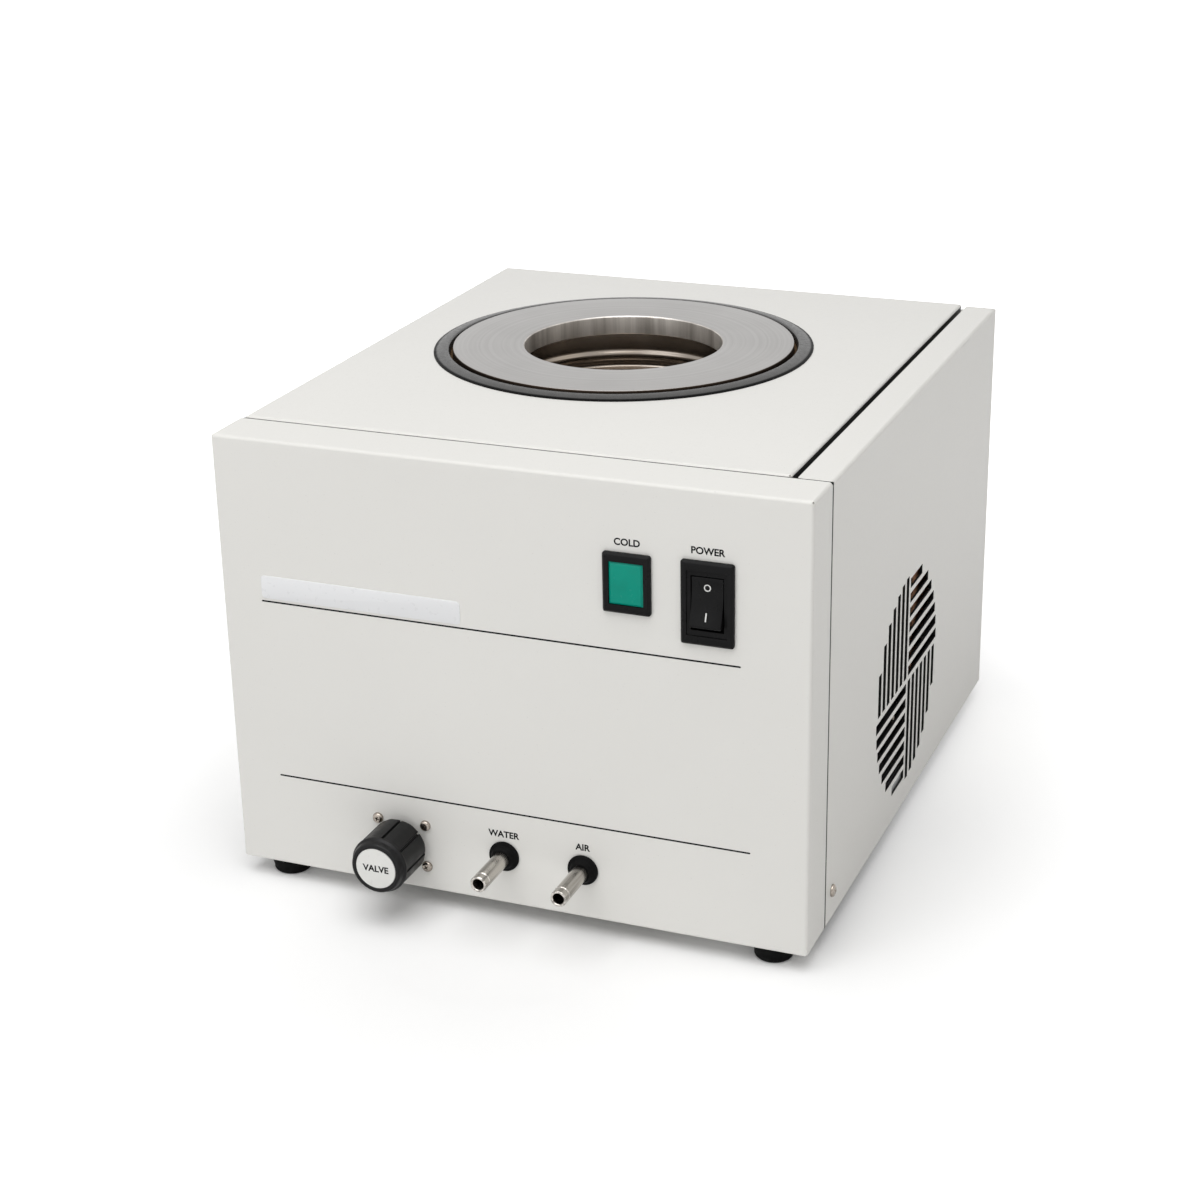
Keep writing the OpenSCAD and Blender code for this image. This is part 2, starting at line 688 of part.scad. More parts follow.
module drain_spigot() { spigot(drain_x); }
module vacuum_spigot() { spigot(vacuum_x); }

// Rubber grommet: flange and cone outside, groove round the sheet, lip inside
module grommet(x) {
    r = spigot_d / 2;
    color("black") facing_front(x, 0, spigot_z) rotate_extrude() polygon(concat(
        [[core_r, -sheet_t - 2.5], [r + 3.6, -sheet_t - 2.5], [r + 3.6, -sheet_t],
         [r + 1.9, -sheet_t], [r + 1.9, 0], [r + 4.3, 0], [r + 4.4, 0.9]],
        arc([r + 3.4, 0.9], 1, 0, 90, 3),
        [[r + 2.4, 2.2], [r + 1.3, 4.6], [r + 0.6, grommet_out], [core_r, grommet_out]]));
}

module drain_grommet() { grommet(drain_x); }
module vacuum_grommet() { grommet(vacuum_x); }

module spigot_nuts() {
    color("goldenrod") for (x = [drain_x, vacuum_x])
        facing_front(x, sheet_t + 2.5, spigot_z) translate([0, 0, -4])
            hex_nut(2 * core_r + 0.1, 17, 4);
}

// ---- Drain valve ----

module valve_bonnet() {
    hole = bush_r + running;
    color("dimgray") facing_front(knob_x, sheet_t, knob_z) difference() {
        union() {
            translate([0, 0, -bonnet_t]) linear_extrude(height = bonnet_t)
                rounded_rect([valve_pitch[0] + 8, valve_pitch[1] + 8], 4);
            translate([0, 0, sheet_t - seat_y]) cylinder(h = seat_y - sheet_t - 1, r = valve_r);
            cylinder(h = sheet_t + 1.6, r = 8);
        }
        translate([0, 0, -seat_y]) cylinder(h = 60, r = hole);
        translate([0, 0, sheet_t - seat_y - cut]) cylinder(h = valve_cavity + cut, r = 11);
        for (p = valve_points) translate([p[0] - knob_x, p[1] - knob_z, -bonnet_t - 9])
            cylinder(h = 20, d = 3.1);
    }
}

module valve_diaphragm() {
    color("black") facing_front(knob_x, seat_y, knob_z) translate([0, 0, -diaphragm_t])
        cylinder(h = diaphragm_t, r = valve_r);
}

module valve_body() {
    back = 26;
    color("goldenrod") in_cabinet() translate([knob_x, seat_y + diaphragm_t, knob_z]) difference() {
        union() {
            rotate([-90, 0, 0]) cylinder(h = 5, r = valve_r);
            translate([0, back / 2, 0]) rotate([90, 0, 0])
                linear_extrude(height = back, center = true) rounded_rect([24, 24], 4);
            translate([0, valve_port_y - seat_y - diaphragm_t, 0]) cylinder(h = valve_r + 5, r = 7);
            translate([0, valve_port_y - seat_y - diaphragm_t, spigot_z - knob_z]) rotate([0, 90, 0])
                cylinder(h = valve_r + 5, r = 7);
        }
        translate([0, valve_port_y - seat_y - diaphragm_t, 3]) cylinder(h = 40, r = 3);
        translate([0, valve_port_y - seat_y - diaphragm_t, spigot_z - knob_z]) rotate([0, 90, 0])
            cylinder(h = 60, r = 3);
        translate([0, -cut, 7]) rotate([-90, 0, 0]) cylinder(h = 16, r = 3);
        translate([6, -cut, 0]) rotate([-90, 0, 0]) cylinder(h = 14, r = 3);
    }
}

module valve_outlet_pipe() {
    color("peru") in_cabinet() bent_tube([[knob_x + valve_r + 5, valve_port_y, spigot_z],
        [drain_x, valve_port_y, spigot_z], [drain_x, 22, spigot_z]], drain_tube, drain_tube - 2, 10);
}

// Rising stem: it slides without turning and presses the diaphragm shut
module valve_spindle() {
    color("silver") facing_front(knob_x, seat_y, knob_z) union() {
        translate([0, 0, 0.3]) cylinder(h = 5, r = 10.4);
        translate([0, 0, 5]) cylinder(h = 39, r = spindle_r - running);
    }
}

// Brass bush: it turns in the bonnet, carries the knob and lifts the stem
module knob_bush() {
    cavity = sheet_t - seat_y + valve_cavity;
    color("goldenrod") facing_front(knob_x, sheet_t, knob_z) difference() {
        union() {
            translate([0, 0, cavity - 1.6]) cylinder(h = 24, r = bush_r);
            translate([0, 0, sheet_t + 1.8]) cylinder(h = 2, r = 7);
            translate([0, 0, cavity - 1.6]) cylinder(h = 1.4, r = 8);
        }
        translate([0, 0, -20]) cylinder(h = 60, r = spindle_r);
    }
}

module drain_knob() {
    r = knob_d / 2;
    back = sheet_t + 2.3;
    face = knob_out;
    groove = 1.5;
    color("black") facing_front(knob_x, 0, knob_z) difference() {
        rotate_extrude() polygon(concat(
            [[bush_r + 0.05, back], [r - 2.2, back]],
            arc([r - 1.6, back + 1.8], 1.6, -75, 0, 4),
            [[r, face - 5], [r - 1, face - 4], [r - 1.9, face - 1.2]],
            arc([r - 3.1, face - 1.2], 1.2, 0, 90, 4),
            [[r - 4.7, face], [r - 4.7, face - 1.2], [0, face - 1.2], [0, face - 4],
             [7.2, face - 4], [7.2, back + 18], [bush_r + 0.05, back + 18]]));
        for (i = [0 : knob_grooves - 1])
            rotate(360 / knob_grooves * (i + 0.85)) translate([r + 0.2, 0, 0]) {
                translate([0, 0, back - cut]) cylinder(h = face - 7 - back + cut, r = groove);
                translate([0, 0, face - 7]) sphere(r = groove);
            }
    }
}

module knob_cap() {
    r = knob_d / 2 - 4.8;
    color("white") facing_front(knob_x, 0, knob_z) translate([0, 0, knob_out - 1.2])
        rotate_extrude() polygon([[0, 0], [r, 0], [r, 0.8], [r - 0.4, 1.15], [0, 1.15]]);
}

module valve_screws() {
    color("silver") for (p = valve_points) facing_front(p[0], 0, p[1])
        pan_screw(3, 6.6, sheet_t + bonnet_t + 2);
}

// ---- Lamp and switch ----

// Moulded bezel with a raised, bevelled rim, standing off the panel on +Z
module bezel(size, opening, t) {
    difference() {
        intersection() {
            linear_extrude(height = t) rounded_rect(size, 1.6);
            rotate([90, 0, 0]) linear_extrude(height = size[1], center = true)
                polygon([[-size[0] / 2, 0], [-size[0] / 2, t - 1.2], [-size[0] / 2 + 1.4, t],
                         [size[0] / 2 - 1.4, t], [size[0] / 2, t - 1.2], [size[0] / 2, 0]]);
            rotate([90, 0, 90]) linear_extrude(height = size[0], center = true)
                polygon([[-size[1] / 2, 0], [-size[1] / 2, t - 1.2], [-size[1] / 2 + 1.4, t],
                         [size[1] / 2 - 1.4, t], [size[1] / 2, t - 1.2], [size[1] / 2, 0]]);
        }
        translate([0, 0, -cut]) linear_extrude(height = t + 2 * cut) square(opening, center = true);
    }
}

module lamp_bezel() {
    color("black") facing_front(lamp_x, 0, lamp_z) union() {
        bezel(lamp_size, [20.2, 25], bezel_t);
        difference() {
            translate([0, 0, -9]) linear_extrude(height = 9)
                square([lamp_size[0] - 6.4, lamp_size[1] - 6.4], center = true);
            translate([0, 0, -10]) linear_extrude(height = 20) square([20.2, 25], center = true);
        }
    }
}

// Tinted lens: a bevelled window with a thin rim round it
module lamp_lens() {
    size = [20, 24.8];
    color("seagreen") facing_front(lamp_x, 0, lamp_z) difference() {
        union() {
            translate([0, 0, -5]) linear_extrude(height = 7.2) square(size, center = true);
            translate([0, 0, 2.2]) intersection() {
                rotate([90, 0, 0]) linear_extrude(height = size[1], center = true)
                    polygon([[-9.6, 0], [-8.6, 0.9], [8.6, 0.9], [9.6, 0]]);
                rotate([90, 0, 90]) linear_extrude(height = size[0], center = true)
                    polygon([[-12, 0], [-11, 0.9], [11, 0.9], [12, 0]]);
            }
        }
        translate([0, 0, -6]) linear_extrude(height = 6) square(size - [3, 3], center = true);
    }
}

module lamp_body() {
    color("dimgray") facing_front(lamp_x, 0, lamp_z) union() {
        translate([0, 0, -26]) linear_extrude(height = 17)
            square([lamp_size[0] - 6.4, lamp_size[1] - 6.4], center = true);
        for (z = [-7, 7]) translate([-0.4, z - 2.4, -34]) cube([0.8, 4.8, 8]);
    }
}

// Bezel and well in one moulding, open to the front
module switch_housing() {
    well = [rocker_w + 1, 2 * (rocker_tip + 1.5)];
    step = [rocker_w + 5.4, 2 * (rocker_tip + 4.5)];
    depth = 26;
    color("black") facing_front(switch_x, 0, switch_z) difference() {
        union() {
            bezel(switch_size, well, bezel_t);
            translate([0, 0, -depth]) linear_extrude(height = depth)
                square([switch_size[0] - 4.4, switch_size[1] - 6.4], center = true);
        }
        translate([0, 0, -13]) linear_extrude(height = 20) square(well, center = true);
        translate([0, 0, bezel_t - 1.2]) linear_extrude(height = 4) square(step, center = true);
        translate([-well[0] / 2 - 1.5, 0, -pivot_y]) rotate([0, 90, 0])
            cylinder(h = well[0] + 3, r = 1.5 + running);
    }
}

// Rocker with a dished face, on two trunnions; it rests with its top pressed in
module switch_rocker() {
    dish = 1.8;
    front = pivot_y + 3.3;
    color("black") in_cabinet() translate([switch_x, pivot_y, switch_z]) rotate([-rocker_tilt, 0, 0])
        frame_of([0, 0, 1], [0, -1, 0], [1, 0, 0], [0, 0, 0]) union() {
            linear_extrude(height = rocker_w, center = true)
                polygon(concat([[-rocker_tip, front], [-rocker_tip + 0.6, front + 0.5]],
                    [for (s = [-1 : 0.125 : 1]) [s * (rocker_tip - 1.4), front + 0.5 - dish * (1 - s * s)]],
                    [[rocker_tip - 0.6, front + 0.5], [rocker_tip, front],
                     [rocker_tip - 0.8, -1.4], [5, -3.4], [-5, -3.4], [-rocker_tip + 0.8, -1.4]]));
            cylinder(h = rocker_w + 2.6, r = 1.5, center = true);
        }
}

module switch_terminals() {
    color("silver") facing_front(switch_x, 0, switch_z) for (x = [-6, 6], z = [-12, 0, 12])
        translate([x - 0.4, z - 3.1, -36]) cube([0.8, 6.2, 10]);
}

module label_plate() {
    color("white") facing_front(-90, 0, 181) linear_extrude(height = 0.5)
        rounded_rect([127, 14], 1.4);
}

// ---- Refrigeration ----

// Hermetic compressor: lapped steel shells welded to a foot plate
module compressor() {
    seam_z = comp_h * 0.5;
    color("#202020") in_cabinet() translate([comp_x, comp_y, comp_z]) difference() {
        union() {
            rotate_extrude() polygon(concat([[0, 2.5], [comp_r - 24, 2.5]],
                arc([comp_r - 22, 22], 20, -90, 0),
                [[comp_r - 2, seam_z - 5], [comp_r, seam_z - 5], [comp_r, seam_z + 1],
                 [comp_r - 1.6, seam_z + 2]],
                arc([comp_r - 31.6, comp_h - 32], 30, 0, 75),
                [[0, comp_h]]));
            linear_extrude(height = 2.6)
                rounded_rect([2 * comp_hole[0] + 24, 2 * comp_hole[1] + 24], 12);
            for (p = comp_ports) translate([p[0], comp_r - 12, p[1]]) rotate([-90, 0, 0])
                cylinder(h = 14, r = 5);
        }
        for (p = comp_points) translate([p[0] - comp_x, p[1] - comp_y, -9]) cylinder(h = 20, r = 8);
    }
}

module compressor_mounts() {
    color("black") in_cabinet() for (p = comp_points) translate([p[0], p[1], 0]) rotate_extrude()
        polygon([[3.3, tray_z], [10, tray_z], [11, tray_z + 4], [9.5, tray_z + 9], [11, comp_z],
                 [7.8, comp_z], [7.8, comp_z + 2.6], [10.5, comp_z + 2.6], [10, comp_z + 5],
                 [3.3, comp_z + 5]]);
}

module compressor_bolts() {
    top = comp_z + 5;
    color("silver") in_cabinet() for (p = comp_points) translate([p[0], p[1], 0]) {
        cylinder(h = top, d = 6.2);
        translate([0, 0, top]) cylinder(h = 1.2, r = 8);
        translate([0, 0, top + 1.2]) cylinder(h = 4.2, d = 11.5, $fn = 6);
    }
}

module terminal_cover() {
    color("#303030") in_cabinet() translate([comp_x, comp_y - comp_r + 2, comp_z + 30])
        rotate([90, 0, 0]) linear_extrude(height = 24) rounded_rect([44, 36], 4);
}

module condenser_fins() {
    ys = [for (y = [-cond_half : 5 : cond_half]) grille_y + y];
    color("lightsteelblue") in_cabinet() difference() {
        union() {
            for (y = ys) translate([cond_x, y, cond_z0]) cube([cond_t, 0.6, 2 * cond_half]);
            for (y = [grille_y - cond_half - 2, grille_y + cond_half + 1])
                translate([cond_x - 3, y, tray_z])
                    cube([cond_t + 3, 1.4, cond_z0 - tray_z + 2 * cond_half + 2]);
        }
        for (x = cond_cols, row = [0 : cond_rows - 1])
            translate([x, grille_y - cond_half - 9, cond_z0 + cond_pitch * (row + 0.5)])
                rotate([-90, 0, 0]) cylinder(h = 2 * cond_half + 18, r = cond_tube / 2 + 0.05);
    }
}

// Serpentine: down one column of fins and back up the other
module condenser_coil() {
    y0 = grille_y - cond_half - 14;
    y1 = grille_y + cond_half + 14;
    function level(row) = cond_z0 + cond_pitch * (row + 0.5);
    function pass(x, row, back) = back ? [[x, y1, level(row)], [x, y0, level(row)]]
                                       : [[x, y0, level(row)], [x, y1, level(row)]];
    top = cond_rows - 1;
    down = [for (k = [0 : top]) each pass(cond_cols[0], top - k, k % 2 == 0)];
    up = [for (k = [0 : top]) each pass(cond_cols[1], k, k % 2 == 1)];
    color("peru") in_cabinet() bent_bar(concat(down, up), cond_tube, 6.5);
}

module fan_shroud() {
    half = cond_half + 3.4;
    x = cond_x + cond_t;
    color("gainsboro") in_cabinet() difference() {
        union() {
            box([x, grille_y - half, tray_z], [x + sheet_t, grille_y + half, cond_z0 + 2 * cond_half + 3]);
            box([x - 20, grille_y - half, tray_z], [x + sheet_t, grille_y + half, tray_z + sheet_t]);
        }
        translate([x - cut, grille_y, grille_z]) rotate([0, 90, 0]) cylinder(h = 9, r = fan_r);
        for (p = fan_points) translate([x - cut, p[0], p[1]]) rotate([0, 90, 0]) cylinder(h = 9, d = 3.4);
        for (y = [grille_y - cond_half - 2, grille_y + cond_half + 1])
            box([x - 21, y - 0.2, tray_z - cut], [x + 0.01, y + 1.6, tray_z + 2]);
    }
}

// Square frame, round duct, three struts and the motor cup
module fan_frame() {
    x = cond_x + cond_t + sheet_t;
    h = fan_size / 2;
    color("#262626") in_cabinet() translate([x, grille_y, grille_z]) rotate([90, 0, 90]) difference() {
        union() {
            difference() {
                linear_extrude(height = fan_t) rounded_rect([fan_size, fan_size], 6);
                translate([0, 0, -cut]) cylinder(h = fan_t + 2 * cut, r = fan_r);
            }
            for (a = [30, 150, 270]) rotate(a) translate([15, -2.5, 0]) cube([fan_r - 13, 5, 3]);
            cylinder(h = 5, r = 21);
        }
        translate([0, 0, -cut]) cylinder(h = fan_t, r = 2 + running);
        for (p = fan_points) translate([p[0] - grille_y, p[1] - grille_z, -cut])
            cylinder(h = fan_t + 2 * cut, d = 4.2);
    }
}

// Hub on its shaft, with curved blades set at a pitch
module fan_rotor() {
    x = cond_x + cond_t + sheet_t;
    reach = sqrt(pow(fan_r - 1.5, 2) - pow(15, 2)) - 12;
    crown = beside([for (a = [-28 : 8 : 28]) 30 * [sin(a), 1 - cos(a)]], 0.7);
    color("#303030") in_cabinet() translate([x, grille_y, grille_z]) rotate([90, 0, 90]) union() {
        translate([0, 0, 1]) cylinder(h = 8, r = 2);
        translate([0, 0, 6]) cylinder(h = fan_t - 8, r = 20);
        for (i = [0 : fan_blades - 1]) rotate(360 / fan_blades * i)
            translate([12, 0, fan_t / 2 + 1]) rotate([90, 0, 90])
                linear_extrude(height = reach) rotate(34) translate([0, -2])
                    polygon(sheet(crown, 1.6));
    }
}

module fan_screws() {
    x = cond_x + cond_t + sheet_t + fan_t;
    color("silver") in_cabinet() for (p = fan_points) translate([x, p[0], p[1]]) rotate([0, 90, 0])
        pan_screw(3, 6, fan_t + sheet_t);
}

module filter_drier() {
    color("peru") in_cabinet() translate([drier_x, drier_y, 52]) rotate_extrude() polygon([[0, 0],
        [3.5, 0], [3.5, 8], [10, 18], [10, 66], [3.5, 76], [3.5, 84], [0, 84]]);
}

module discharge_line() {
    z = comp_z + comp_ports[0][1];
    x = comp_x + comp_ports[0][0];
    y = comp_y + comp_r + 2;
    top = cond_z0 + cond_pitch * (cond_rows - 0.5);
    color("peru") in_cabinet() bent_bar([[x, y, z], [x, 357, z], [cond_cols[0], 357, z],
        [cond_cols[0], 357, top], [cond_cols[0], grille_y + cond_half + 14, top]], 6, 9);
}

module liquid_line() {
    top = cond_z0 + cond_pitch * (cond_rows - 0.5);
    x = cond_cols[1];
    y = grille_y + cond_half + 14;
    color("peru") in_cabinet() bent_bar([[x, y, top], [x, y + 24, top], [x, y + 24, 36],
        [drier_x, y + 24, 36], [drier_x, drier_y, 36], [drier_x, drier_y, 52]], 6, 9);
}

module capillary_tube() {
    x = chamber_x + coil_r;
    y = chamber_y + coil_exit;
    color("peru") in_cabinet() bent_bar([[drier_x, drier_y, 136], [drier_x, drier_y, coil_z0],
        [drier_x, y + 32, coil_z0], [x, y + 32, coil_z0], [x, y, coil_z0]], 3, 8);
}

module suction_line() {
    x = chamber_x - coil_r;
    y = chamber_y + coil_exit;
    z = comp_z + comp_ports[1][1];
    stub = comp_x + comp_ports[1][0];
    color("peru") in_cabinet() bent_bar([[x, y, coil_z1], [x, 374, coil_z1], [x, 374, z],
        [stub, 374, z], [stub, comp_y + comp_r + 2, z]], coil_tube, 10);
}

// ---- Mains inlet ----

// Flanged appliance inlet with a cavity and three flat pins
module mains_inlet() {
    color("black") in_cabinet() frame_of([-1, 0, 0], [0, 0, 1], [0, 1, 0], [inlet_x, back_y, inlet_z]) {
        difference() {
            union() {
                linear_extrude(height = 3) rounded_rect([50, 23], 3);
                translate([0, 0, -17]) linear_extrude(height = 18) square([27, 20], center = true);
            }
            translate([0, 0, -14]) linear_extrude(height = 20)
                polygon([[-12, 8], [-12, -3.5], [-7.5, -8], [7.5, -8], [12, -3.5], [12, 8]]);
            for (s = [-1, 1]) translate([20 * s, 0, -cut]) cylinder(h = 6, d = 3.4);
        }
        for (p = [[-7, 1.6], [7, 1.6], [0, -2.4]])
            translate([p[0] - 1, p[1] - 2, -15]) cube([2, 4, 14]);
        for (p = [[-7, 1.6], [7, 1.6], [0, -2.4]])
            translate([p[0] - 3, p[1] - 0.4, -26]) cube([6, 0.8, 10]);
    }
}

base_tray();
front_panel();
top_cover();
right_side_panel();
rear_panel();
cover_rail();
cover_screws();
foot_front_left();
foot_front_right();
foot_rear_left();
foot_rear_right();
foot_screws();
chamber_flange();
flange_seal();
chamber_collar();
chamber_vessel();
chamber_floor();
trim_ring();
insulation_jacket();
evaporator_coil();
chamber_stand();
drain_pipe();
vacuum_pipe();
drain_spigot();
vacuum_spigot();
drain_grommet();
vacuum_grommet();
spigot_nuts();
valve_bonnet();
valve_body();
valve_diaphragm();
valve_outlet_pipe();
valve_spindle();
valve_screws();
knob_bush();
drain_knob();
knob_cap();
lamp_bezel();
lamp_lens();
lamp_body();
switch_housing();
switch_rocker();
switch_terminals();
label_plate();
compressor();
compressor_mounts();
compressor_bolts();
terminal_cover();
condenser_fins();
condenser_coil();
fan_shroud();
fan_frame();
fan_rotor();
fan_screws();
filter_drier();
discharge_line();
liquid_line();
capillary_tube();
suction_line();
mains_inlet();
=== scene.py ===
# %% [markdown]
# # A bench-top freeze dryer
# The real object is a folded steel cabinet with a cold chamber in its top. The solids come from a
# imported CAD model, in metres, and this lesson gives them their finish: paint, turned steel, rubber
# and moulded plastic. It also adds what is too fine for the solids, such as print and screw heads.

# %% Load the frame
import bpy
import bmesh
import json
import math
from mathutils import Matrix, Vector


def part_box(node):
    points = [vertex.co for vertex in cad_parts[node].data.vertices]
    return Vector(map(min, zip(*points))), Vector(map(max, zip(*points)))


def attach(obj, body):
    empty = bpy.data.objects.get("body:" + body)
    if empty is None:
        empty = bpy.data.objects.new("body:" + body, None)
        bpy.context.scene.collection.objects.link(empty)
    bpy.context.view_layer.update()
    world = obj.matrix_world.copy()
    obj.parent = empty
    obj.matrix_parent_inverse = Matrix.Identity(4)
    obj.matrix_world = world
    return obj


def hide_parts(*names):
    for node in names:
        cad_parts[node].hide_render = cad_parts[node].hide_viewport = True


MM = 0.001
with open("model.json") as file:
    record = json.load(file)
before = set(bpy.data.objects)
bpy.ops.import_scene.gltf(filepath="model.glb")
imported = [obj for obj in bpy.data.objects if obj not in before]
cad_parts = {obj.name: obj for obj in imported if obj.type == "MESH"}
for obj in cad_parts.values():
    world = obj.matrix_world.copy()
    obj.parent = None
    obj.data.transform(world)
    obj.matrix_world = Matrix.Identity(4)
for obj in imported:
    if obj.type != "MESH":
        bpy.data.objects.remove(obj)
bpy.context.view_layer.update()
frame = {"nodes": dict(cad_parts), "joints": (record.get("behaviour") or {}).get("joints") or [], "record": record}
nodes = frame["nodes"]


# %% Look up sizes in the frame
def named(rows, name):
    return next(row for row in rows if row["name"] == name)


def centre_of(node):
    low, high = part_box(node)
    return (low + high) / 2


def radius_of(node):
    """Half the width of a round node, in millimetres."""
    low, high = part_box(node)
    return (high.x - low.x) / 2 / MM


front_y, base_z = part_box("front_panel")[0].yz
mouth_r = named(frame["record"]["mounts"], "chamber_mouth")["dims"]["r_mm"]
print("front face y %.1f mm, base z %.1f mm, mouth radius %.2f mm" % (front_y / MM, base_z / MM, mouth_r))

# %% [markdown]
# ## Camera
# A long lens looks from the front right, a little above the cabinet. The camera is placed by its
# azimuth, elevation and distance from a point inside the cabinet, which is easier to adjust than three
# raw coordinates. A small roll and shift settle the framing.

# %% Place the camera
AIM = Vector((23.2, -88.25, 161.0)) * MM
AZIMUTH, ELEVATION, ROLL = math.radians(22.1), math.radians(22.09), math.radians(-1.05)
DISTANCE = 1416.5 * MM

away = Vector((math.sin(AZIMUTH) * math.cos(ELEVATION), -math.cos(AZIMUTH) * math.cos(ELEVATION),
               math.sin(ELEVATION)))
camera_data = bpy.data.cameras.new("camera")
camera_data.sensor_width, camera_data.lens = 36.0, 71.325
camera_data.shift_x, camera_data.shift_y = -0.0068333, 0.01075
camera_data.clip_start, camera_data.clip_end = 0.05, 30.0
camera = bpy.data.objects.new("camera", camera_data)
camera.location = AIM + away * DISTANCE
roll = Matrix.Rotation(ROLL, 4, "Z").to_quaternion()
camera.rotation_euler = (away.to_track_quat("Z", "Y") @ roll).to_euler()
bpy.context.scene.collection.objects.link(camera)
bpy.context.scene.camera = camera
print("camera at", [round(c, 3) for c in camera.location], "lens", round(camera_data.lens, 2))

# %% [markdown]
# ## A way to write node trees
# Light, finishes and repeated shapes are all built from nodes. A short helper class keeps each tree
# readable: what is passed to a node is either a plain value, which is set, or another node's output,
# which is linked.


# %% Helper for node trees
class Graph:
    """A node tree written as short calls."""

    def __init__(self, tree):
        self.tree = tree

    def feed(self, socket, value):
        """Link an output to a socket, or set the socket to a plain value."""
        if isinstance(value, bpy.types.NodeSocket):
            self.tree.links.new(value, socket)
        else:
            socket.default_value = value

    def node(self, kind, settings=None, **inputs):
        made = self.tree.nodes.new(kind)
        for key, value in (settings or {}).items():
            setattr(made, key, value)
        for key, value in inputs.items():
            self.feed(made.inputs[key.replace("_", " ")], value)
        return made

    def calc(self, operation, *values):
        made = self.node("ShaderNodeMath", {"operation": operation})
        for socket, value in zip(made.inputs, values):
            self.feed(socket, value)
        return made.outputs[0]

    def times(self, first, *others):
        for other in others:
            first = self.calc("MULTIPLY", first, other)
        return first

    def length(self, a, b):
        """The long side of a right-angled triangle with sides a and b."""
        return self.calc("SQRT", self.calc("ADD", self.calc("POWER", a, 2.0), self.calc("POWER", b, 2.0)))

    def span(self, value, low, high, to_low, to_high, **settings):
        """A value that runs from low to high, made to run between two other numbers."""
        return self.node("ShaderNodeMapRange", settings, Value=value, From_Min=low, From_Max=high,
                         To_Min=to_low, To_Max=to_high).outputs["Result"]

    def split(self, vector):
        return self.node("ShaderNodeSeparateXYZ", Vector=vector).outputs

    def seen(self):
        """1 where the camera, a reflection or glass looks, 0 where the surface only lights others."""
        path = self.node("ShaderNodeLightPath").outputs
        either = self.calc("MAXIMUM", path["Is Camera Ray"], path["Is Glossy Ray"])
        return self.calc("MAXIMUM", either, path["Is Transmission Ray"])


# %% [markdown]
# ## A way to write finishes
# In every finish a position on the object goes through noise, and the noise moves the colour, the
# roughness and the bump. Sizes are given in millimetres, the size of one grain or blotch, because that
# can be checked against the thing.


# %% Helper for finishes
class Finish(Graph):
    """One procedural material, built up a node at a time."""

    def __init__(self, name, colour, roughness, metallic=0.0, gloss=0.5):
        self.material = bpy.data.materials.new(name)
        self.material.use_nodes = True
        super().__init__(self.material.node_tree)
        self.surface = self.tree.nodes["Principled BSDF"]
        self.colour, self.normal = colour, None
        self.set("Base Color", (*colour, 1))
        self.set("Roughness", roughness)
        self.set("Metallic", metallic)
        self.set("Specular IOR Level", gloss)
        self.place = self.node("ShaderNodeTexCoord").outputs["Object"]

    def set(self, key, value):
        self.feed(self.surface.inputs[key], value)

    def stretched(self, sizes, turn=0.0):
        """Position in units of the given sizes, turned about Z."""
        made = self.node("ShaderNodeMapping", Vector=self.place, Rotation=(0, 0, turn))
        made.inputs["Scale"].default_value = [1 / (s * MM) for s in sizes]
        return made.outputs["Vector"]

    def noise(self, size, detail=2.0, rough=0.5, vector=None):
        return self.node("ShaderNodeTexNoise", Vector=vector or self.place, Detail=detail, Roughness=rough,
                         Scale=1.0 if vector else 1 / (size * MM)).outputs["Fac"]

    def rings(self, distance, pitch):
        """Noise that changes only with one distance: lathe marks."""
        return self.node("ShaderNodeTexNoise", {"noise_dimensions": "1D"}, W=distance, Detail=3.0,
                         Scale=1 / (pitch * MM)).outputs["Fac"]

    def tint(self, amount, other):
        """Mix the colour so far with another, where amount is 1."""
        mix = self.node("ShaderNodeMix", {"data_type": "RGBA"}, Factor=amount)
        base = self.surface.inputs["Base Color"]
        self.feed(mix.inputs["A"], base.links[0].from_socket if base.links else (*self.colour, 1))
        self.feed(mix.inputs["B"], (*other, 1))
        self.feed(base, mix.outputs["Result"])

    def relief(self, height, depth, strength=1.0):
        """Bump of a real depth in millimetres, on top of the bump so far."""
        made = self.node("ShaderNodeBump", Height=height, Strength=strength, Distance=depth * MM)
        if self.normal:
            self.feed(made.inputs["Normal"], self.normal)
        self.normal = made.outputs["Normal"]
        self.set("Normal", self.normal)

    def radius_from(self, centre, axis="Z"):
        """Distance from an axis through the centre, in metres."""
        made = self.node("ShaderNodeMapping", Vector=self.place, Location=[-c for c in centre])
        parts = self.split(made.outputs["Vector"])
        return self.length(*[parts[p] for p in "XYZ" if p != axis])


finishes = {}
print("tree and finish helpers ready")

# %% [markdown]
# ## Light
# Large soft boxes give every edge a gentle fall-off and leave only a faint contact shadow. Three area
# lamps and an even world do that, and the lamp on the right is warm. The world is white to the camera
# and in reflections, and weaker as a light, so the paint keeps its colour.

# %% Set up the light
scene = bpy.context.scene
scene.view_settings.view_transform = "Standard"


def add_lamp(name, location, target, size, power, colour=(1, 1, 1)):
    data = bpy.data.lights.new(name, "AREA")
    data.shape = "RECTANGLE"
    data.size, data.size_y = size
    data.energy, data.color = power, colour
    lamp = bpy.data.objects.new(name, data)
    lamp.location = location
    lamp.rotation_euler = (Vector(location) - Vector(target)).to_track_quat("Z", "Y").to_euler()
    scene.collection.objects.link(lamp)


add_lamp("top_softbox", (0.05, -0.75, 2.0), (0, 0, 0.2), (2.2, 2.0), 36)
add_lamp("front_softbox", (-0.9, -2.4, 1.0), (0, 0, 0.15), (1.8, 1.4), 8.4)
add_lamp("side_softbox", (2.6, -0.3, 1.1), (0, 0, 0.15), (1.4, 1.2), 1.6, (1.0, 0.88, 0.68))

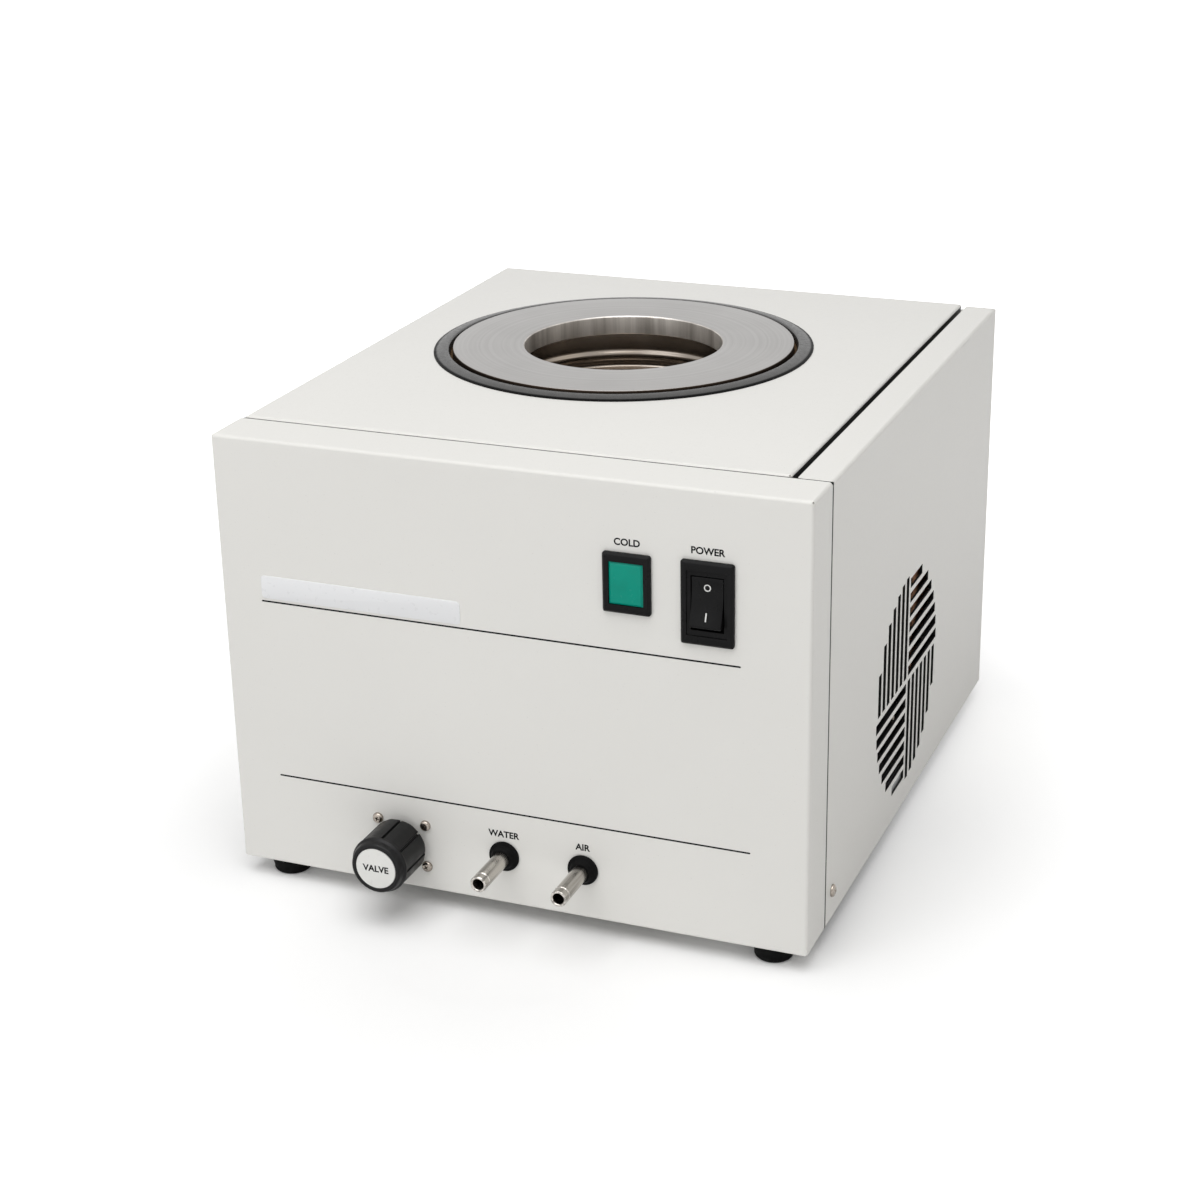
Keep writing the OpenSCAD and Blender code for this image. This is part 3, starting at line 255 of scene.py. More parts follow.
world = bpy.data.worlds.new("studio")
scene.world = world
world.use_nodes = True
sky = Graph(world.node_tree)
background = sky.tree.nodes["Background"]
background.inputs["Color"].default_value = (1, 1, 1, 1)
sky.feed(background.inputs["Strength"], sky.span(sky.seen(), 0.0, 1.0, 0.25, 1.0))

# %% [markdown]
# ## White paper floor
# The object stands on white paper that runs out of sight. The paper is a pale matt surface that takes
# the shadow. Where the camera or a reflection looks, a little white is added, and more of it far away,
# so that the paper reads as white without stronger lamps. The light that it sends back stays plain.

# %% Lay the floor
EDGE = 6.0
floor_mesh = bpy.data.meshes.new("floor")
floor_mesh.from_pydata([(-EDGE, -EDGE, 0), (EDGE, -EDGE, 0), (EDGE, EDGE, 0), (-EDGE, EDGE, 0)], [],
                       [(0, 1, 2, 3)])
floor = bpy.data.objects.new("floor", floor_mesh)
scene.collection.objects.link(floor)
paper = Finish("white_paper", (0.93, 0.93, 0.93), 0.9, gloss=0.1)
paper.relief(paper.noise(1 / 0.9), 0.2, 0.05)
reach = paper.node("ShaderNodeVectorMath", {"operation": "DISTANCE"}, Vector=paper.place)
reach.inputs[1].default_value = (0, -0.2, 0)
wash = paper.span(reach.outputs["Value"], 0.08, 1.0, 0.0, 1.0)
glow = paper.node("ShaderNodeEmission", Strength=paper.times(wash, paper.seen()))
both = paper.node("ShaderNodeAddShader")
for socket, shader in zip(both.inputs, (paper.surface, glow)):
    paper.feed(socket, shader.outputs[0])
paper.feed(paper.tree.nodes["Material Output"].inputs["Surface"], both.outputs[0])
floor_mesh.materials.append(paper.material)
print("floor: %.0f m square" % (2 * EDGE))

# %% [markdown]
# ## Painted sheet
# The cabinet is powder-coated steel. Powder melts into a slightly wavy skin, called orange peel, with
# fine grit in it. Two bumps of different size give that, and a broad noise keeps large panels from
# looking like flat colour. The walls of the vent's slots and of the channel beside the cover are
# painted near-black as painted shade, standing in for the shadow in those narrow places.


# %% Paint the panels
def powder_coat(name, colour, roughness):
    paint = Finish(name, colour, roughness, gloss=0.28)
    paint.tint(paint.span(paint.noise(140), 0.35, 0.65, 0.0, 0.5), [c * 0.972 for c in colour])
    specks = paint.noise(0.9, 0.0)
    paint.tint(paint.span(specks, 0.80, 0.84, 0.0, 0.35), [c * 0.7 for c in colour])
    paint.set("Roughness", paint.span(paint.noise(3.0, 3.0), 0.3, 0.7, roughness - 0.05, roughness + 0.06))
    paint.relief(paint.noise(1.6, 1.0), 0.012, 0.6)
    paint.relief(paint.noise(0.35, 2.0), 0.004, 0.5)
    return paint


def paint_shade_between(paint, axis, low, high, other, colour):
    """Paint shade in a colour between two heights along an axis, where another mask is also 1."""
    along = paint.split(paint.place)[axis]
    under = paint.span(along, high - 0.1 * MM, high, 1.0, 0.0)
    inside = paint.times(under, paint.calc("GREATER_THAN", along, low))
    paint.tint(paint.times(inside, other), colour)


WHITE, VENT_R, SLOT_DEPTH, CHANNEL_DEPTH = (0.80, 0.79, 0.757), 74 * MM, 4 * MM, 20 * MM
side_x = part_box("right_side_panel")[1].x
paint = powder_coat("front_powder_coat", WHITE, 0.42)
from_fan = paint.radius_from(named(frame["joints"], "fan_spin")["pos_m"], "X")
in_vent = paint.span(from_fan, VENT_R, VENT_R + MM, 1.0, 0.0)
# The walls of the vent's slots are painted near-black: painted shade inside the slots.
paint_shade_between(paint, "X", side_x - SLOT_DEPTH, side_x - 0.1 * MM, in_vent, (0.008, 0.008, 0.008))
finishes["front_paint"] = paint.material

paint = powder_coat("cover_powder_coat", WHITE, 0.38)
cover_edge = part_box("top_cover")[1]
on_wall = paint.calc("GREATER_THAN", paint.split(paint.place)["X"], cover_edge.x - 0.12 * MM)
# The cover's wall in the channel beside the side panel is painted dark: painted shade in the channel.
paint_shade_between(paint, "Z", cover_edge.z - CHANNEL_DEPTH, cover_edge.z - 0.7 * MM, on_wall, (0.02, 0.019, 0.018))
finishes["cover_paint"] = paint.material
print("paints:", sorted(finishes))

# %% [markdown]
# ## Turned and spun steel
# A lathe tool leaves rings round the axis, so the marks depend only on the distance from it. Noise in
# one dimension, read along that distance, gives rings of uneven depth, as a real tool does. The disc
# also has short scratches from lids slid over it. Its bore is painted paler than the face as painted
# light, with dark streaks along it as painted reflection bands, and its outer wall is painted dark brown
# as painted shade in the gap beside the edging. The spun chamber has its rings along its height.


# %% Finish the steel
def turned(name, colour, roughness, centre, pitch, depth, bore, rim):
    steel = Finish(name, colour, roughness, 1.0)
    distance = steel.radius_from(centre)
    steel.relief(steel.rings(distance, pitch), depth)
    steel.set("Roughness", steel.span(steel.rings(distance, pitch * 9), 0.3, 0.7, roughness - 0.05,
                                      roughness + 0.07))
    steel.tint(steel.span(steel.noise(45, 3.0), 0.35, 0.7, 0.0, 0.5), [c * 0.86 for c in colour])
    for turn in (0.4, 1.9):
        marks = steel.noise(1.0, 1.0, vector=steel.stretched((26, 0.45, 26), turn))
        steel.tint(steel.span(marks, 0.73, 0.77, 0.0, 0.4), [min(1, c * 1.35) for c in colour])
    # The bore is tinted paler as painted light, and the dark streaks along it are painted reflection bands.
    on_bore = steel.span(distance, bore + 0.1 * MM, bore + 0.6 * MM, 1.0, 0.0)
    steel.tint(on_bore, (0.74, 0.7, 0.65))
    reflection_streaks = steel.noise(1.0, 4.0, 0.65, steel.stretched((17, 17, 300)))
    steel.tint(steel.times(steel.span(reflection_streaks, 0.4, 0.62, 0.0, 0.7), on_bore), (0.25, 0.225, 0.2))
    steel.set("Metallic", steel.span(on_bore, 0.0, 1.0, 1.0, 0.75))
    # The outer wall is painted dark brown: painted shade in the gap to the rubber edging.
    steel.tint(steel.span(distance, rim - 0.3 * MM, rim - 0.1 * MM, 0.0, 1.0), (0.06, 0.043, 0.032))
    return steel.material


def spun(name, colour, roughness, pitch):
    steel = Finish(name, colour, roughness, 1.0)
    steel.relief(steel.rings(steel.split(steel.place)["Z"], pitch), 0.01)
    steel.set("Roughness", steel.span(steel.noise(25), 0.3, 0.7, roughness - 0.04, roughness + 0.05))
    heat_tint = [c * share for c, share in zip(colour, (0.75, 0.66, 0.56))]
    steel.tint(steel.span(steel.noise(60), 0.4, 0.7, 0.0, 0.4), heat_tint)
    return steel.material


def plated(name, colour, roughness, patch, reflection_streak_width=0.0):
    metal = Finish(name, colour, roughness, 1.0)
    metal.set("Roughness", metal.span(metal.noise(patch, 3.0), 0.3, 0.7, roughness - 0.04, roughness + 0.06))
    metal.tint(metal.span(metal.noise(patch * 2), 0.4, 0.7, 0.0, 0.35), [c * 0.85 for c in colour])
    # Dark bands along the part are painted reflection: streaks standing in for dark surroundings seen in the
    # metal.
    if reflection_streak_width:
        reflection_bands = metal.noise(1.0, 1.0, vector=metal.stretched((reflection_streak_width, 60, reflection_streak_width)))
        metal.tint(metal.span(reflection_bands, 0.42, 0.6, 0.0, 0.8), [c * 0.4 for c in colour])
    metal.relief(metal.noise(0.25), 0.003, 0.6)
    return metal.material


finishes.update(
    turned_steel=turned("turned_steel", (0.42, 0.41, 0.4), 0.38, centre_of("chamber_flange"), 0.28, 0.012,
                        mouth_r * MM, radius_of("chamber_flange") * MM),
    spun_steel=spun("spun_steel", (0.32, 0.285, 0.25), 0.2, 0.9),
    nickel=plated("nickel_plate", (0.6, 0.57, 0.53), 0.2, 20, 2.2),
    screw_steel=plated("screw_plate", (0.36, 0.32, 0.28), 0.2, 1.5),
    zinc_plate=plated("zinc_plate", (0.3, 0.305, 0.31), 0.42, 14),
    copper=plated("drawn_copper", (0.62, 0.33, 0.2), 0.34, 10),
    brass=plated("turned_brass", (0.62, 0.47, 0.22), 0.3, 8),
    fin_alu=plated("fin_aluminium", (0.3, 0.29, 0.28), 0.4, 12))
print("metals:", [k for k in finishes if "paint" not in k])

# %% [markdown]
# ## Rubber, foam and moulded plastic
# Rubber scatters light widely and picks up pale dust, so it gets high roughness and a mottled tint. The
# outer flank of the edging leans away from the light, and it is made darker and almost without gloss, or
# the white room would show in it as grey. Moulded plastic is smoother, with the fine grain of its mould.


# %% Finish the rubber and plastic
def rubber(name, colour, dust, amount, roughness=0.6, gloss=0.15, flank=None):
    skin = Finish(name, colour, roughness, gloss=gloss)
    skin.tint(skin.span(skin.noise(5, 4.0, 0.6), 0.42, 0.68, 0.0, amount), dust)
    skin.set("Roughness", skin.span(skin.noise(2.5, 3.0), 0.3, 0.7, roughness - 0.08, roughness + 0.1))
    skin.relief(skin.noise(0.5, 3.0), 0.012, 0.6)
    if flank:
        middle, rim = flank
        outer = skin.span(skin.radius_from(middle), rim - 2.6 * MM, rim - 1.4 * MM, 0.0, 1.0)
        skin.tint(outer, (0.004, 0.004, 0.004))
        skin.set("Specular IOR Level", skin.span(outer, 0.0, 1.0, gloss, 0.02))
    return skin.material


def moulded(name, colour, roughness, grain, depth, wear=1.25, gloss=0.2):
    skin = Finish(name, colour, roughness, gloss=gloss)
    skin.tint(skin.span(skin.noise(7, 3.0), 0.4, 0.75, 0.0, 0.5), [min(1, c * wear) for c in colour])
    skin.set("Roughness", skin.span(skin.noise(4, 3.0), 0.3, 0.7, roughness - 0.05, roughness + 0.08))
    skin.relief(skin.noise(grain), depth, 0.6)
    return skin.material


flank = (centre_of("trim_ring"), radius_of("trim_ring") * MM)
finishes.update(
    grey_rubber=rubber("edging_rubber", (0.03, 0.029, 0.028), (0.06, 0.058, 0.055), 0.5, 0.3, 0.45, flank),
    black_rubber=rubber("foot_rubber", (0.004, 0.004, 0.004), (0.012, 0.012, 0.012), 0.4, 0.6, 0.06),
    foam=rubber("jacket_foam", (0.1, 0.058, 0.028), (0.2, 0.13, 0.07), 0.6, 0.8),
    knob_plastic=moulded("knob_plastic", (0.006, 0.006, 0.0063), 0.34, 0.3, 0.006, 1.8),
    switch_plastic=moulded("switch_plastic", (0.004, 0.004, 0.0042), 0.3, 0.3, 0.005, 1.7, 0.1),
    fan_plastic=moulded("fan_plastic", (0.012, 0.012, 0.013), 0.4, 0.4, 0.008, 1.6),
    grey_plastic=moulded("grey_nylon", (0.09, 0.095, 0.1), 0.45, 0.4, 0.008),
    cap_plastic=moulded("cap_plastic", (0.79, 0.79, 0.76), 0.3, 0.5, 0.003, 0.97, 0.3),
    label_white=moulded("label_film", (0.82, 0.825, 0.835), 0.3, 12.0, 0.02, 0.99, 0.45),
    compressor_black=moulded("black_enamel", (0.014, 0.014, 0.016), 0.25, 1.2, 0.02, 1.6),
    lens_green=moulded("green_lens", (0.0005, 0.285, 0.205), 0.2, 1.0, 0.002, 0.85, 0.12))
print("finishes:", len(finishes))

# %% [markdown]
# ## Dressing the CAD nodes
# Most of the solids already have the right shape, so they only need a finish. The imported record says
# which material slot each one takes, and the table of finishes has one entry for each slot.

# %% Dress the CAD nodes
subparts = {part["node"]: part for part in frame["record"]["subparts"]}
body_of = {node: body for body, members in frame["record"]["behaviour"]["bodies"].items() for node in members}
for node, part in subparts.items():
    mesh = nodes[node].data
    mesh.materials.clear()
    mesh.materials.append(finishes[part["material_slot"]])
print("dressed", len(subparts), "nodes")

# %% [markdown]
# ## Helpers for pieces
# A piece is a mesh whose place is in its vertices, like the nodes. Three ways of making one repeat
# below: a lathe for round things, a copy of a node with its sharp edges rounded, and Geometry Nodes for
# what repeats. Rounded edges matter more than anything else here, because they catch the light.


# %% Put a mesh into the scene
def add_piece(name, mesh, body, slot_name, *replaced):
    piece = bpy.data.objects.new(name, mesh)
    scene.collection.objects.link(piece)
    mesh.materials.clear()
    mesh.materials.append(finishes[slot_name])
    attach(piece, body)
    if replaced:
        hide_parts(*replaced)
    low, high = [[round(f(v.co[i] for v in mesh.vertices) / MM, 1) for i in range(3)] for f in (min, max)]
    print("%-16s %6d faces  %s to %s" % (name, len(mesh.polygons), low, high))
    return piece


def shaded(mesh, sharp):
    """Shade a mesh smooth, but keep its corners above an angle in degrees sharp."""
    mesh.shade_smooth()
    mesh.set_sharp_from_angle(angle=math.radians(sharp))
    return mesh


def to_mesh(bm, name, sharp=35):
    mesh = bpy.data.meshes.new(name)
    bm.to_mesh(mesh)
    bm.free()
    return shaded(mesh, sharp)


def add_block(bm, low, high):
    """Add a box between two corners to a bmesh."""
    low, high = Vector(low), Vector(high)
    for vert in bmesh.ops.create_cube(bm, size=1.0)["verts"]:
        vert.co = (low + high) / 2 + vert.co * (high - low)


# %% Copy a node with rounded edges
def merged(node):
    """A node's shape as a bmesh, with the corners that its triangles share made one."""
    bm = bmesh.new()
    bm.from_mesh(nodes[node].data)
    bmesh.ops.remove_doubles(bm, verts=bm.verts, dist=2e-6)
    return bm


def dress_rounded(node, width, segments=2, angle=28):
    """Replace a node by a copy with every sharp edge rounded by a width in millimetres."""
    bm = merged(node)
    bmesh.ops.dissolve_limit(bm, angle_limit=math.radians(0.5), verts=bm.verts, edges=bm.edges)
    sharp = [e for e in bm.edges if len(e.link_faces) == 2 and e.calc_face_angle(0) > math.radians(angle)]
    if width:
        bmesh.ops.bevel(bm, geom=sharp, offset=width * MM, segments=segments, profile=0.5, affect="EDGES",
                        clamp_overlap=True)
    bmesh.ops.triangulate(bm, faces=[f for f in bm.faces if len(f.verts) > 4])
    return add_piece(node + "_piece", to_mesh(bm, node + "_rounded"), body_of[node],
                     subparts[node]["material_slot"], node)


# %% Turn a profile on a lathe
NO_LENGTH = 1e-4


def corners_eased(profile, radius, steps=3):
    """A closed profile of (radius, height) points with its corners rounded."""
    eased = []
    for i in range(len(profile)):
        here, before, after = (Vector(profile[j % len(profile)]) for j in (i, i - 1, i + 1))
        if here.x < NO_LENGTH:
            eased.append(here)
            continue
        back, on = before - here, after - here
        reach = min(radius, back.length * 0.45, on.length * 0.45)
        a, b = here + back.normalized() * reach, here + on.normalized() * reach
        for k in range(steps + 1):
            t = k / steps
            eased.append(a * (1 - t) ** 2 + here * 2 * t * (1 - t) + b * t ** 2)
    return eased


def lathe(name, profile, at, turn=Matrix(), angles=96, sharp=35):
    """Spin a closed profile in millimetres about Z, then turn it and put it at a point in metres."""
    if isinstance(angles, int):
        angles = [2 * math.pi * k / angles for k in range(angles)]
    bm = bmesh.new()
    rings = []
    for radius, height in profile:
        around = angles if radius >= NO_LENGTH else [0.0]
        rings.append([bm.verts.new((radius * MM * math.cos(a), radius * MM * math.sin(a), height * MM))
                      for a in around])
    for i, ring in enumerate(rings):
        following = rings[(i + 1) % len(rings)]
        for k in range(len(angles)):
            j = (k + 1) % len(angles)
            loop = [ring[k % len(ring)], ring[j % len(ring)], following[j % len(following)],
                    following[k % len(following)]]
            loop = [v for n, v in enumerate(loop) if v not in loop[:n]]
            if len(loop) > 2:
                bm.faces.new(loop)
    bmesh.ops.remove_doubles(bm, verts=bm.verts, dist=1e-7)
    bmesh.ops.recalc_face_normals(bm, faces=bm.faces)
    bm.transform(Matrix.Translation(at) @ turn)
    return to_mesh(bm, name, sharp)


FACING_FRONT = Matrix.Rotation(math.radians(90), 4, "X")


def on_front(node):
    """The point of the cabinet's front face behind the middle of a node."""
    centre = centre_of(node)
    return Vector((centre.x, front_y, centre.z))


print("piece helpers ready")

# %% [markdown]
# ## Folded sheet panels
# The cabinet's panels are sheet metal folded on a brake, and their cut edges are dressed so that they
# don't cut a hand. The solids have the fold radius but razor-sharp cut edges, so each panel gets a copy
# whose edges are rounded by about a fifth of a millimetre. That thin line of light draws the real thing.
# The flat of each sheet keeps its own direction of shading, or the roundings would darken it nearby.
# A black strip lies in the seam behind the front panel as painted shade, where the real gap is only in shadow; it
# is level with the paint to a tenth of a millimetre.

# %% Round the panels
for panel in ("front_panel", "top_cover", "right_side_panel", "rear_panel", "base_tray"):
    flats = dress_rounded(panel, 0.22).modifiers.new("Flat sheet shades flat", "WEIGHTED_NORMAL")
    flats.weight, flats.keep_sharp = 100, True

# %% Lay the shade strip in the seam
seam_top, left_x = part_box("front_panel")[1].z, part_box("top_cover")[0].x
side_low, side_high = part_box("right_side_panel")
fore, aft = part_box("front_panel")[1].y, side_low.y
THICK, LAP, SHOW = 2.5 * MM, 0.2 * MM, 0.05 * MM
bm = bmesh.new()
add_block(bm, (left_x, fore, seam_top - THICK), (side_high.x - 0.5 * MM, aft, seam_top - 0.1 * MM))
add_block(bm, (side_high.x - THICK, fore - LAP, side_low.z),
          (side_high.x + SHOW, aft + LAP, seam_top - 0.3 * MM))
add_block(bm, (left_x - SHOW, fore, side_low.z), (left_x + THICK, aft, seam_top))
# The strip takes the black rubber finish, but it is painted shade, not a real gasket.
add_piece("seam_shade_strip", to_mesh(bm, "seam_shade_strip"), "cabinet", "black_rubber")

# %% [markdown]
# ## The cold chamber's mouth
# A thick steel disc is turned flat and bored, with a small chamfer on each corner. It lies in a domed
# rubber edging. Both are round about one axis, so a lathe with many steps gives clean highlights
# that a coarse solid can't. Their sections are the solids' own sections with the corners eased.

# %% Turn the disc
chamber_axis = centre_of("chamber_flange") * Vector((1, 1, 0))
disc_low, disc_top = [corner.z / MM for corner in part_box("chamber_flange")]
disc_r = radius_of("chamber_flange")
GROOVE_IN, GROOVE_OUT, GROOVE_DEEP = 80, 90, 0.8
groove = [(GROOVE_IN, disc_low), (GROOVE_IN, disc_low + GROOVE_DEEP), (GROOVE_OUT, disc_low + GROOVE_DEEP),
          (GROOVE_OUT, disc_low)]
section = [(mouth_r, disc_low + 0.6), (mouth_r + 0.6, disc_low), *groove, (disc_r - 0.4, disc_low),
           (disc_r, disc_low + 0.4), (disc_r, disc_top - 0.35), (disc_r - 0.35, disc_top),
           (mouth_r + 0.8, disc_top), (mouth_r, disc_top - 0.8)]
disc = lathe("disc", corners_eased(section, 0.25), chamber_axis, angles=192, sharp=50)
add_piece("steel_disc", disc, "cabinet", "turned_steel", "chamber_flange")

# %% Turn its edging
cover_top = cover_edge.z / MM
SHEET, SKIRT = 1.5, 3.5
edging_r, edging_in = radius_of("trim_ring"), disc_r + 2.5
hole_r, under, skirt = edging_in + 3, cover_top - SHEET, cover_top - SHEET - SKIRT
dome = [(edging_r - (edging_r - edging_in - 1) * s, cover_top + 0.5 + 1.7 * math.sin(math.pi / 2 * s))
        for s in [k / 12 for k in range(13)]]
section = [(edging_in, skirt), (edging_in + 6, skirt), (edging_in + 6, under), (hole_r, under),
           (hole_r, cover_top), (edging_r, cover_top), *dome, (edging_in + 0.5, cover_top + 2),
           (edging_in, cover_top + 1.4)]
edging = lathe("edging", section, chamber_axis, angles=192, sharp=50)
add_piece("rubber_edging", edging, "cabinet", "grey_rubber", "trim_ring")

# %% Smooth the spun chamber
for spinning in ("chamber_collar", "chamber_vessel", "chamber_floor"):
    dress_rounded(spinning, 0)

# %% [markdown]
# ## Drain and vacuum spigots
# Each spigot is a plated tube with a fine groove near its end and a chamfered mouth, held in a rubber
# grommet that flares onto the panel. They are turned parts again, made about an axis that points out
# of the front. The groove and the lip are what make a plain tube look like a hose tail.

# %% Turn the spigots and grommets
BORE = 3.3
for side in ("drain", "vacuum"):
    at, r = on_front(side + "_spigot"), radius_of(side + "_spigot")
    out = (front_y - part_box(side + "_spigot")[0].y) / MM
    section = [(BORE, -22), (r - 0.2, -22), (r - 0.2, 5.4), (r, 5.4), (r, out - 6), (r - 0.5, out - 5.6),
               (r - 0.5, out - 5), (r, out - 4.6), (r, out - 0.9), (r - 0.25, out - 0.25), (r - 0.8, out),
               (BORE + 0.5, out), (BORE, out - 0.5)]
    tube = lathe(side + "_tube", corners_eased(section, 0.22), at, FACING_FRONT, 72, 50)
    add_piece(side + "_spigot_piece", tube, "cabinet", "nickel", side + "_spigot")
    section = [(r - 0.2, -4), (r + 3.6, -4), (r + 3.6, -1.5), (r + 1.9, -1.5), (r + 1.9, 0), (r + 4.3, 0),
               (r + 4.4, 0.9), (r + 4.2, 1.6), (r + 3.4, 1.9), (r + 2.4, 2.3), (r + 1.3, 4.6),
               (r + 0.6, 5.2), (r - 0.2, 5.2)]
    collar = lathe(side + "_collar", corners_eased(section, 0.5), at, FACING_FRONT, 72, 50)
    add_piece(side + "_grommet_piece", collar, "cabinet", "black_rubber", side + "_grommet")

# %% [markdown]
# ## Feet
# The feet are moulded rubber pads, each with a recess for its screw. Only their rims show, under the
# cabinet, but they are what the object stands on, so their lower edge is round and touches the floor.

# %% Turn the feet
TOE = 2.6
for foot in ("foot_front_left", "foot_front_right", "foot_rear_left", "foot_rear_right"):
    low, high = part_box(foot)
    at, r, drop = centre_of(foot), radius_of(foot), (low.z - high.z) / MM
    at.z = high.z
    curve = [(r - 3.6 + TOE * math.cos(a), drop + TOE + TOE * math.sin(a))
             for a in [math.radians(20 - 11 * k) for k in range(11)]]
    section = [(2.2, 0), (r, 0), (r - 0.2, drop * 0.4), *curve, (4.6, drop), (4.6, drop * 0.5),
               (2.2, drop * 0.5)]
    add_piece(foot + "_piece", lathe(foot + "_pad", section, at, angles=64), "cabinet", "black_rubber", foot)

# %% [markdown]
# ## A way to write Geometry Nodes
# A node tree is the right tool where one shape repeats by a rule. The trees are built in code with
# named inputs, so their sizes can be changed in one place. Each is evaluated once, turned into a plain
# mesh, and thrown away, because the finished piece has to stand alone.


# %% Helper for Geometry Nodes
class Grower(Graph):
    """A Geometry Nodes tree with named inputs."""

    def __init__(self, name, **inputs):
        super().__init__(bpy.data.node_groups.new(name, "GeometryNodeTree"))
        face = self.tree.interface
        face.new_socket("Geometry", in_out="INPUT", socket_type="NodeSocketGeometry")
        face.new_socket("Geometry", in_out="OUTPUT", socket_type="NodeSocketGeometry")
        for label, kind in inputs.items():
            face.new_socket(label, in_out="INPUT", socket_type="NodeSocket" + kind)
        self.given = self.tree.nodes.new("NodeGroupInput").outputs

    def made(self, kind, settings=None, **inputs):
        """The first output of a new Geometry node."""
        return self.node("GeometryNode" + kind, settings, **inputs).outputs[0]

    def vector(self, x, y, z):
        return self.node("ShaderNodeCombineXYZ", X=x, Y=y, Z=z).outputs[0]

    def join(self, *parts):
        joined = self.tree.nodes.new("GeometryNodeJoinGeometry")
        for part in reversed(parts):
            self.feed(joined.inputs[0], part)
        return joined.outputs[0]

    def cut(self, solid, tool, crossing=False):
        """A mesh with another cut out of it. The tool may cross itself."""
        return self.made("MeshBoolean", {"operation": "DIFFERENCE", "solver": "EXACT"}, Mesh_1=solid,
                         Mesh_2=tool, Self_Intersection=crossing)

    def chance(self, low, high):
        """A random number between two others, a new one for each point."""
        made = self.node("FunctionNodeRandomValue", {"data_type": "FLOAT"}, Seed=self.given["Seed"])
        self.feed(made.inputs[2], low)
        self.feed(made.inputs[3], high)
        return made.outputs[1]

    def end(self, geometry):
        """Close the tree with Realize Instances and Set Material."""
        plain = self.made("RealizeInstances", Geometry=geometry)
        painted = self.made("SetMaterial", Geometry=plain, Material=self.given["Finish"])
        self.feed(self.tree.nodes.new("NodeGroupOutput").inputs[0], painted)
        print(self.tree.name, len(self.tree.nodes), "nodes")

    def grow(self, base, **values):
        """Run the tree on a mesh with these values, and give the result as a plain mesh."""
        holder = bpy.data.objects.new("holder", base)
        scene.collection.objects.link(holder)
        modifier = holder.modifiers.new("tree", "NODES")
        modifier.node_group = self.tree
        for item in self.tree.interface.items_tree:
            if item.in_out == "INPUT" and item.name in values:
                modifier[item.identifier] = values[item.name]
        return shaded(settled(holder), 40)


def settled(holder):
    """The mesh that an object comes to with its modifiers. The object itself is thrown away."""
    bpy.context.view_layer.update()
    mesh = bpy.data.meshes.new_from_object(holder.evaluated_get(bpy.context.evaluated_depsgraph_get()))
    bpy.data.objects.remove(holder)
    return mesh


# %% [markdown]
# ## Cross-recess screws
# Nineteen pan-head screws hold the panels, the valve and the fan. One head is a low cylinder
# whose top is domed by Set Position, with a tapered cross cut out of it. The tree copies it to a point
# for each screw, turns it to face outwards and spins it at random, since no two screws stop alike.

# %% Grow one screw at each point
screws = Grower("pan_screws", HeadRadius="Float", HeadHeight="Float", ShankRadius="Float",
                ShankLength="Float", Seed="Int", Finish="Material")
given, calc, times, vector = screws.given, screws.calc, screws.times, screws.vector
wide, tall = given["HeadRadius"], given["HeadHeight"]
head = screws.made("MeshCylinder", Vertices=40, Side_Segments=1, Fill_Segments=9, Radius=wide, Depth=tall)
x, y, z = screws.split(screws.node("GeometryNodeInputPosition").outputs[0])
share = calc("MINIMUM", calc("DIVIDE", screws.length(x, y), wide), 1.0)
fall = calc("SUBTRACT", 1.0, calc("SQRT", calc("SUBTRACT", 1.0, calc("POWER", share, 3.2))))
down = times(times(fall, calc("GREATER_THAN", z, 0.0)), times(tall, -0.62))
domed = screws.made("SetPosition", Geometry=head,
                    Offset=vector(0.0, 0.0, calc("ADD", down, times(tall, 0.5))))

arm, thin, deep = times(wide, 1.12), times(wide, 0.3), times(tall, 1.5)
arms = screws.join(screws.made("MeshCube", Size=vector(arm, thin, deep)),
                   screws.made("MeshCube", Size=vector(thin, arm, deep)))
taper = calc("ADD", 1.0, times(calc("LESS_THAN", z, 0.0), -0.5))
lifted = calc("ADD", z, times(tall, 1.06))
narrowed = screws.made("SetPosition", Geometry=arms,
                       Position=vector(times(x, taper), times(y, taper), lifted))

long = given["ShankLength"]
shank = screws.made("MeshCylinder", Vertices=20, Radius=given["ShankRadius"], Depth=long)
sunk = screws.made("Transform", Geometry=shank, Translation=vector(0.0, 0.0, times(long, -0.5)))
screw = screws.join(screws.cut(domed, narrowed, True), sunk)
outwards = screws.made("InputNamedAttribute", {"data_type": "FLOAT_VECTOR"}, Name="outwards")
aim = screws.node("FunctionNodeAlignRotationToVector", {"axis": "Z"}, Vector=outwards).outputs[0]
spin = screws.node("FunctionNodeRotateRotation", {"rotation_space": "LOCAL"}, Rotation=aim,
                   Rotate_By=vector(0.0, 0.0, screws.chance(0.0, math.radians(90)))).outputs[0]
points = screws.made("MeshToPoints", Mesh=given["Geometry"])
screws.end(screws.made("InstanceOnPoints", Points=points, Instance=screw, Rotation=spin))


# %% Find where the screws sit
def solids_of(node):
    """The lowest and highest corner of each separate solid in a node, in the same order every time."""
    bm = merged(node)
    left, boxes = dict.fromkeys(bm.verts), []
    while left:
        stack, group = [left.popitem()[0]], []
        while stack:
            vert = stack.pop()
            group.append(vert.co.copy())
            for link in vert.link_edges:
                other = link.other_vert(vert)
                if other in left:
                    del left[other]
                    stack.append(other)
        boxes.append([Vector([f(co[i] for co in group) for i in range(3)]) for f in (min, max)])
    bm.free()
    return boxes


HEAD_HEIGHT = 2.2 * MM
CABINET_MIDDLE = Vector((0, 0, 0.15))


